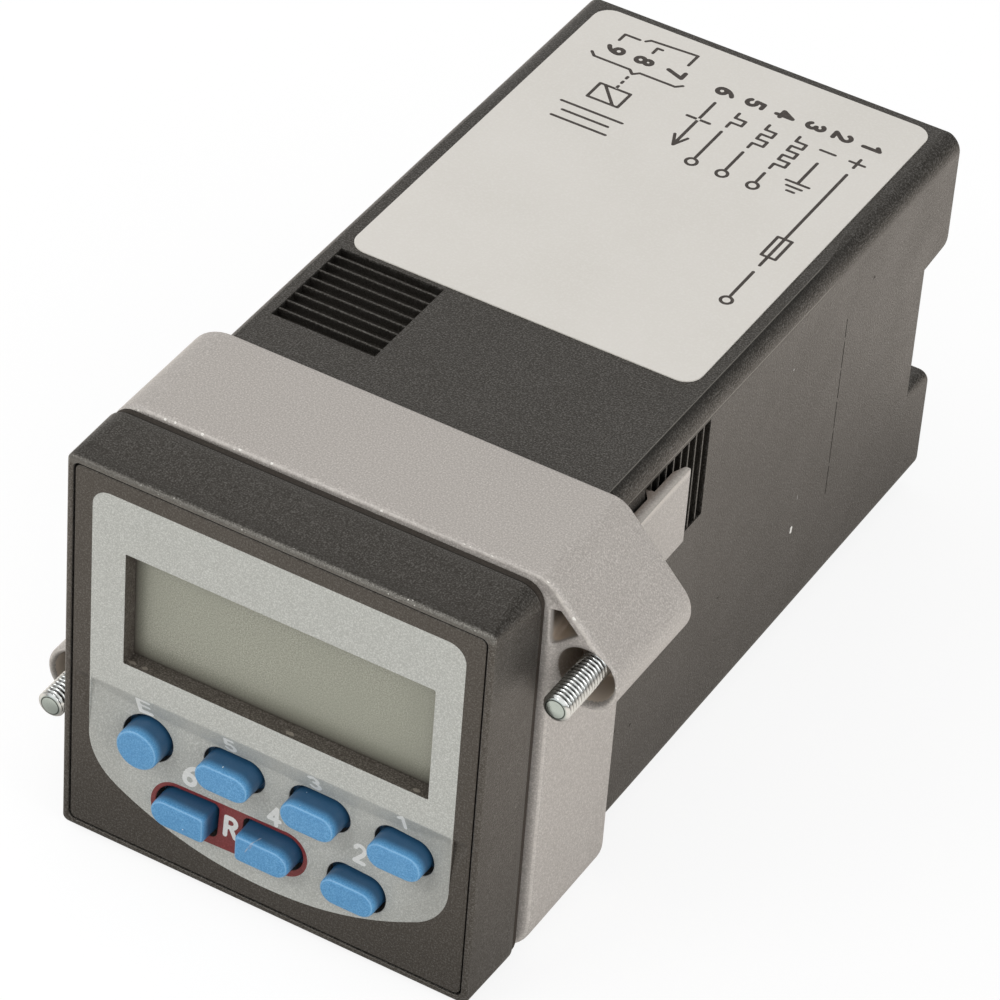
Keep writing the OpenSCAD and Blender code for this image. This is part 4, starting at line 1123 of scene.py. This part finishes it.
def rim_edges(tris):
    """Edges that only one triangle uses."""
    seen = {}
    for t in tris:
        for a, b in ((t[0], t[1]), (t[1], t[2]), (t[2], t[0])):
            key = (min(a, b), max(a, b))
            seen[key] = seen.get(key, 0) + 1
    return [e for e, count in seen.items() if count == 1]


def flat_face(verts, faces, outer, holes, y):
    flat, tris, _ = filled([outer] + holes, outer, holes)
    faces += [tuple(len(verts) + t) for t in tris]
    verts += [(x, y, z) for x, z in flat]


def add_pawls(body):
    """Adds the pawls: tongue, saw tooth and thinned tip, with rounded long edges."""
    pawl_in, out, apex, flank, end = 22.6, 23.8, 21.7, 24.14, 29.3
    profile = [(pawl_in, 13.0), (pawl_in, flank - 1.35), (apex, flank - 0.12), (apex, flank),
               (pawl_in, flank), (pawl_in, end - 1.6), (out - 0.6, end - 0.15), (out - 0.45, end),
               (out - 0.1, end), (out, end - 0.15), (out, FRAME_BACK + 0.8),
               (out + 0.8, FRAME_BACK - 0.01), (out + 0.8, 13.0)]
    n = len(profile)
    bm = bmesh.new()
    for s in (1, -1):
        sides = [[bm.verts.new((s * x * MM, y * MM, s * z * MM)) for x, y in profile]
                 for z in (PAWL_LOW, PAWL_HIGH)]
        bm.faces.new(sides[0])
        bm.faces.new(sides[1][::-1])
        for i in range(n):
            bm.faces.new((sides[0][i], sides[1][i], sides[1][(i + 1) % n], sides[0][(i + 1) % n]))
        edges = []
        for side in sides:
            for a, b in ((side[i], side[i + 1]) for i in (9, 8, 7, 10)):
                edges += [e for e in a.link_edges if e.other_vert(a) is b]
        bmesh.ops.bevel(bm, geom=edges, offset=PAWL_ROUND * MM, offset_type="OFFSET", segments=4,
                        profile=0.5, affect="EDGES", clamp_overlap=True)
    bmesh.ops.recalc_face_normals(bm, faces=bm.faces)
    pawls = bpy.data.meshes.new("pawls")
    bm.to_mesh(pawls)
    full = bmesh.new()
    full.from_mesh(body.data)
    full.from_mesh(pawls)
    full.to_mesh(body.data)


def build_clamp():
    outer = frame_outline()
    room = rrect(0, 0, *ROOM, 8)
    hollow, bore = circle(*HOLLOW), circle(SCREW_X, SCREW_Z, BORE_R)
    hole = circle(SCREW_X, SCREW_Z, HOLE_R, 36)
    pocket = [tuple(p) for p in rounded_profile(POCKET, (0.4, 0.3, 0.15, 0.15), 4)]
    hollows, pockets, bores = ([loop, turned(loop)] for loop in (hollow, pocket, bore))

    def front_height(p):
        ring_in, rim = into_rect(p, *RING), distance_to([outer], p)
        ring = RING_FRONT + np.where(ring_in > 0, fillet(ring_in, RING_ROUND), RING_ROUND - ring_in * 4)
        on_ear = np.abs(p[:, 0]) > 20
        y = smooth_min(ring, np.where(on_ear, EAR_FRONT + fillet(rim, EAR_ROUND), 99), 0.12)
        y = np.where(rim < 1e-4, np.where(on_ear, EAR_FRONT + EAR_ROUND, RING_FRONT + RING_ROUND), y)
        for loops, r in (([room], ROOM_ROUND), (hollows, HOLE_ROUND), (pockets, POCKET_ROUND)):
            y = y + fillet(distance_to(loops, p), r)
        return y

    def back_height(p):
        y = FRAME_BACK - fillet(distance_to([outer, room], p), BACK_ROUND)
        return y - fillet(distance_to(bores, p), BORE_ROUND)

    rounds = [0.72, ROOM_ROUND, HOLE_ROUND, HOLE_ROUND, POCKET_ROUND, POCKET_ROUND]
    front = slab_face(outer, [room] + hollows + pockets, rounds, front_height, 0.55)
    rounds = [BACK_ROUND, BACK_ROUND, BORE_ROUND, BORE_ROUND]
    back = slab_face(outer, [room] + bores, rounds, back_height, 1.1)
    verts, faces = [], []
    # each face has walls from its rims to the floors of its holes, or to the middle of the frame
    for (flat, y, tris), floors in ((front, ((hollows, HOLLOW_FLOOR), (pockets, POCKET_FLOOR))),
                                    (back, ((bores, BORE_FLOOR),))):
        start = len(verts)
        verts += [(x, d, z) for (x, z), d in zip(flat, y)]
        faces += [tuple(start + t) for t in tris]
        for a, b in rim_edges(tris):
            target = MIDDLE
            for loops, deep in floors:
                if distance_to(loops, (flat[[a]] + flat[[b]]) / 2)[0] < 1e-3:
                    target = deep
            faces.append((start + a, start + b, len(verts) + 1, len(verts)))
            verts += [(flat[k][0], target, flat[k][1]) for k in (a, b)]
    for side in (list, turned):
        flat_face(verts, faces, side(hollow), [side(hole)], HOLLOW_FLOOR)
        flat_face(verts, faces, side(bore), [side(hole)], BORE_FLOOR)
        faces += loft_faces(2, len(hole), len(verts))
        verts += [(x, y, z) for y in (HOLLOW_FLOOR, BORE_FLOOR) for x, z in side(hole)]
        flat_face(verts, faces, side(pocket), [], POCKET_FLOOR)
    body = outward(new_object("clamp_ring", verts, faces, [CLAMP, CLAMP_HOLLOW_SHADED, CLAMP_POCKET_SHADED, CLAMP_EDGE_HIGHLIGHT]))
    centres = np.array([poly.center[:] for poly in body.data.polygons]) / MM
    spots, y = centres[:, [0, 2]], centres[:, 1]
    rim = distance_to([outer], spots)
    shade = np.where((rim > 0.16) & (rim < 0.5) & (y < EAR_FRONT + 0.45), 3, 0).astype(np.int32)
    for s in (1, -1):
        in_hollow = np.hypot(*(spots - (s * HOLLOW[0], s * HOLLOW[1])).T) < HOLLOW[2] + 0.02
        shade[in_hollow & (y > EAR_FRONT + 0.3) & (y < HOLLOW_FLOOR + 0.1)] = 1
    in_pocket = (distance_to(pockets, spots) < 0.02) | inside(pockets, spots)
    shade[in_pocket & (y > EAR_FRONT + 0.2) & (y < 11)] = 2
    body.data.polygons.foreach_set("material_index", shade)
    add_pawls(body)
    flat_shaded(body, 38, 50)
    mesh = applied(body)
    # exact normals on the rounded front, so that its triangles don't show
    co = points_of(mesh)
    on_front = np.abs(co[:, 1] - front_height(co[:, [0, 2]])) < 2e-3
    normals = np.array([n.vector[:] for n in mesh.corner_normals])
    loops, places = [], []
    for poly in mesh.polygons:
        if poly.normal.y < -0.12 and on_front[list(poly.vertices)].all():
            for loop in poly.loop_indices:
                v = co[mesh.loops[loop].vertex_index]
                step = np.array(poly.center) / MM - v
                loops.append(loop)
                places.append((v + step * min(0.5, 0.03 / max(np.linalg.norm(step), 1e-6)))[[0, 2]])
    normals[loops] = forward_normals(front_height, np.array(places), 0.008)
    mesh.normals_split_custom_set([tuple(n) for n in normals])
    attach(body, "housing")
    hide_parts("clamp_frame")


# Rating label
LABEL_FRONT, LABEL_REAR, LABEL_HALF, LABEL_THICK = 36.35, 87.88, 19.7, 0.12
COLUMNS = (15.75, 12.35, 9.2, 5.65, 2.1, -1.4, -7.35, -11.1, -14.6)       # x of the terminals' numbers


def bar(x, y, half):
    return [(x - half, y), (x + half, y)]


def build_label():
    """Label film with plain printed terminal numbers and lines."""
    outline = rrect(0, (LABEL_FRONT + LABEL_REAR) / 2, 2 * LABEL_HALF, LABEL_REAR - LABEL_FRONT, 2.0, 8)
    prints = []

    def drawn(*strokes, half=0.18):
        for loop in stroke_outline(strokes, half, 0.06):
            prints.append(simpler(loop, 0.012))

    def ring(x, y):
        return arc(x, y, 0.6, np.linspace(0, 2 * math.pi, 25))

    def zigzag(x, y, count, step=0.95, high=1.25):
        pts = [(x, y)]
        for k in range(count):
            pts += [(x, y - step), (x + high, y - step), (x + high, y - 2 * step), (x, y - 2 * step)]
            y -= 2 * step
        return pts + [(x, y - step)]

    for text, x in zip("123456789", COLUMNS):
        prints.extend(character(text, x, 81.5, 2.25, 0.12, -90))
    x = COLUMNS[0]                     # supply with its fuse
    fuse = [(x - 0.75, 62.5), (x + 0.85, 62.5), (x + 0.85, 58.9), (x - 0.75, 58.9), (x - 0.75, 62.5)]
    drawn(bar(x, 78.2, 0.85), [(x, 79.05), (x, 77.35)])
    drawn([(x, 75.9), (x, 57.2)], fuse)
    drawn([(x, 55.9), (x, 51.2)], ring(x, 50.3))
    x = COLUMNS[1]                     # ground
    drawn(bar(x, 78.2, 0.85))
    drawn([(x, 75.9), (x, 71.6)], bar(x, 71.6, 1.3), bar(x, 70.8, 0.85), bar(x, 70.0, 0.4))
    for x, count in zip(COLUMNS[2:5], (3, 2, 1)):      # pulse inputs
        drawn(zigzag(x - 0.5, 79.0, count))
        drawn([(x - 0.5, 77.0 - 1.9 * count), (x - 0.5, 69.6)], ring(x - 0.5, 68.7))
    x = COLUMNS[5]                     # switched output
    drawn([(x, 79.2), (x, 70.4)], [(x - 0.75, 72.0), (x, 70.2), (x + 0.75, 72.0)])
    drawn(bar(x, 75.6, 1.3), half=0.2)
    # change-over contact with its relay
    x = COLUMNS[7]
    drawn([(-6.94, 83.5), (-6.93, 85.58), (-12.35, 85.2), (-12.75, 84.75)])
    drawn([(-13.39, 84.62), (-15.15, 84.62), (-15.16, 83.35)])
    drawn([(x, 83.3), (x, 84.35), (-10.5, 84.35)])
    drawn([(-5.6, 79.9), (-6.2, 79.3), (-10.4, 79.3), (-11.0, 78.7),
           (-11.6, 79.3), (-15.9, 79.3), (-16.5, 79.9)])
    coil = [(-9.3, 75.4), (-12.9, 75.4), (-12.9, 72.6), (-9.3, 72.6), (-9.3, 75.4)]
    drawn(coil, [(-9.9, 72.6), (-12.3, 75.4)])
    for y in (78.0, 77.0, 76.0):
        drawn([(x, y), (x, y - 0.35)])
    for y, width in ((70.4, 7.2), (69.0, 5.4), (67.6, 6.4)):
        drawn(bar(x, y, width / 2))
    flat, tris, mid = filled([outline] + prints, outline, [])
    kind = list(np.where(inside(prints, mid), 1, 0)) + [0] * (len(outline) + 1)
    verts = [(x, y, CASE_HALF + LABEL_THICK) for x, y in flat]
    faces = [tuple(t) for t in tris]
    walls(verts, faces, flat, outline, lambda x, y: (x, y, CASE_HALF))
    faces.append(tuple(range(len(flat), len(verts))))
    made = outward(new_object("label_sheet", verts, faces, [LABEL, LABEL_INK], kind, smooth=False))
    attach(made, "housing")
    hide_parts("rating_label")


build_bezel()
build_plate()
for key in (*KEYS, "key_e"):
    build_key(key)
for side in (1, -1):
    build_screw(side)
build_label()
build_case()
build_clamp()
softened("panel_gasket", "gasket_ring", 0.3, [RUBBER], 3)
softened("terminal_screws_upper", "screws_upper", 0.08, [ZINC])
softened("terminal_screws_lower", "screws_lower", 0.08, [ZINC])

for material, nodes in ((LCD, ("lcd_glass",)), (WHITE_INK, ("lcd_backlight",)), (ZINC, ("quartz",)),
                        (BLACK, ("lcd_holder", "board_links", "controller_chip", "buffer_capacitor", "relay")),
                        (RUBBER, ("lcd_contact_strips", "switch_mat", "supply_coil")),
                        (LAMINATE, ("front_board", "signal_board", "relay_board")),
                        (GREEN, ("terminal_block_upper", "terminal_block_lower")),
                        (BRASS, ("wire_clamps_upper", "wire_clamps_lower"))):
    for node in nodes:
        for slot in NODE[node].material_slots:
            slot.material = material

# Camera
CAMERA = Vector((196.597, -339.398, 346.220)) * MM
FORWARD = Vector((-0.37029, 0.68041, -0.63240))
RIGHT = Vector((0.85526, 0.51540, 0.05374))
camera = linked("camera", bpy.data.cameras.new("camera"))
up = RIGHT.cross(FORWARD).normalized()
turn = Matrix((RIGHT.normalized(), up, -FORWARD.normalized())).transposed()
camera.matrix_world = Matrix.Translation(CAMERA) @ turn.to_4x4()
camera.data.sensor_width = 36
camera.data.lens = 195.97
camera.data.shift_x, camera.data.shift_y = 0.0654, -0.0139
camera.data.clip_start, camera.data.clip_end = 0.02, 20
bpy.context.scene.camera = camera

# Floor
FLOOR_Z, FLOOR_HALF = -24.02, 2500
corners = [(x * FLOOR_HALF, y * FLOOR_HALF, FLOOR_Z) for x, y in ((-1, -1), (1, -1), (1, 1), (-1, 1))]
floor = new_object("floor", corners, [(0, 1, 2, 3)], [], smooth=False)
f = Finish("pale_floor", (0, 0, 0), 0.9)
f.bsdf["Base Color"].default_value = (0.7, 0.7, 0.7, 1)
floor.data.materials.append(f.mat)
RAYS = ("Is Camera Ray", "Is Transmission Ray", "Is Glossy Ray")
to_camera, through, glossy = values_of(f.tree, "ShaderNodeLightPath", *RAYS)
straight = to_camera.largest(through)
# The camera sees a white floor; glossy surfaces see it with a painted shadow next to the part, and darker far
# away
off_x = (abs(f.x) - 23 * MM).largest(0.0)
off_y = (abs(f.y - 41 * MM) - 48 * MM).largest(0.0)
away = (off_x * off_x + off_y * off_y).calc("SQRT")
table = glossy * (away.ramp_mm(0.0, 32, 0.5, 1.32, True) * away.ramp_mm(90, 420, 1.0, 0.25, True))
tint = add_node(f.tree, "ShaderNodeMix", (glossy,), data_type="RGBA")
tint.inputs[6].default_value, tint.inputs[7].default_value = (1, 1, 1, 1), (1.0, 0.925, 0.85, 1)
glow = add_node(f.tree, "ShaderNodeEmission", (Value(f.tree, tint.outputs[2]), straight * 1.13 + table))
shader = f.tree.nodes["Principled BSDF"]
blend = add_node(f.tree, "ShaderNodeMixShader", ((straight * 0.75).largest(glossy * 0.85),))
for k, made in enumerate((shader, glow)):
    f.tree.links.new(made.outputs[0], blend.inputs[k + 1])
f.tree.links.new(blend.outputs[0], f.tree.nodes["Material Output"].inputs["Surface"])

# Studio
world = bpy.data.worlds.new("studio")
bpy.context.scene.world = world
world.use_nodes = True
tree = world.node_tree
back = tree.nodes["Background"].inputs
back["Color"].default_value = (1, 1, 1, 1)
to_camera, through, glossy = values_of(tree, "ShaderNodeLightPath", *RAYS)
aim, = values_of(tree, "ShaderNodeTexCoord", "Generated")


def sky_patch(direction, edge, core, low, high):
    """A soft patch of the studio as glossy surfaces see it, around a direction."""
    to = Vector(direction).normalized()
    toward = add_node(tree, "ShaderNodeVectorMath", (aim, to), operation="DOT_PRODUCT")
    return Value(tree, toward.outputs["Value"]).ramp(edge, core, low, high, True)


studio = sky_patch((0.42, 0.68, 0.6), 0.86, 0.985, 1.0, 0.0) * 0.35           # dark corner behind
studio = studio * sky_patch((-0.1, 0.1, 1.0), 0.7, 0.95, 1.0, 0.2)            # dark ceiling
studio = studio + sky_patch((-0.37, 0.68, 0.5), 0.6, 0.97, 0.0, 0.34)         # pale wall behind on the left
studio = studio + sky_patch((0.0, -0.8, 0.6), 0.5, 0.9, 0.0, 0.9)             # white screen in front
direct = to_camera.largest(through)
put(back["Strength"], direct + glossy * studio + (1.0 - direct.largest(glossy)) * 0.62)


def lamp(name, place, aim, size, power):
    data = bpy.data.lights.new(name, "AREA")
    data.shape, data.size, data.energy = "SQUARE", size * MM, power
    made = linked(name, data)
    made.location = Vector(place) * MM
    made.rotation_euler = (Vector(aim) - Vector(place)).to_track_quat("-Z", "Y").to_euler()


lamp("front_light", (-270, -460, 500), (0, 0, 0), 240, 0.75)
lamp("camera_light", (350, -500, 350), (0, 0, 0), 300, 0.5)
lamp("left_light", (-600, -100, 350), (0, 40, 0), 400, 1.4)
lamp("right_light", (620, -130, 200), (0, 40, 0), 400, 1.2)

bpy.context.scene.view_settings.view_transform = "Standard"
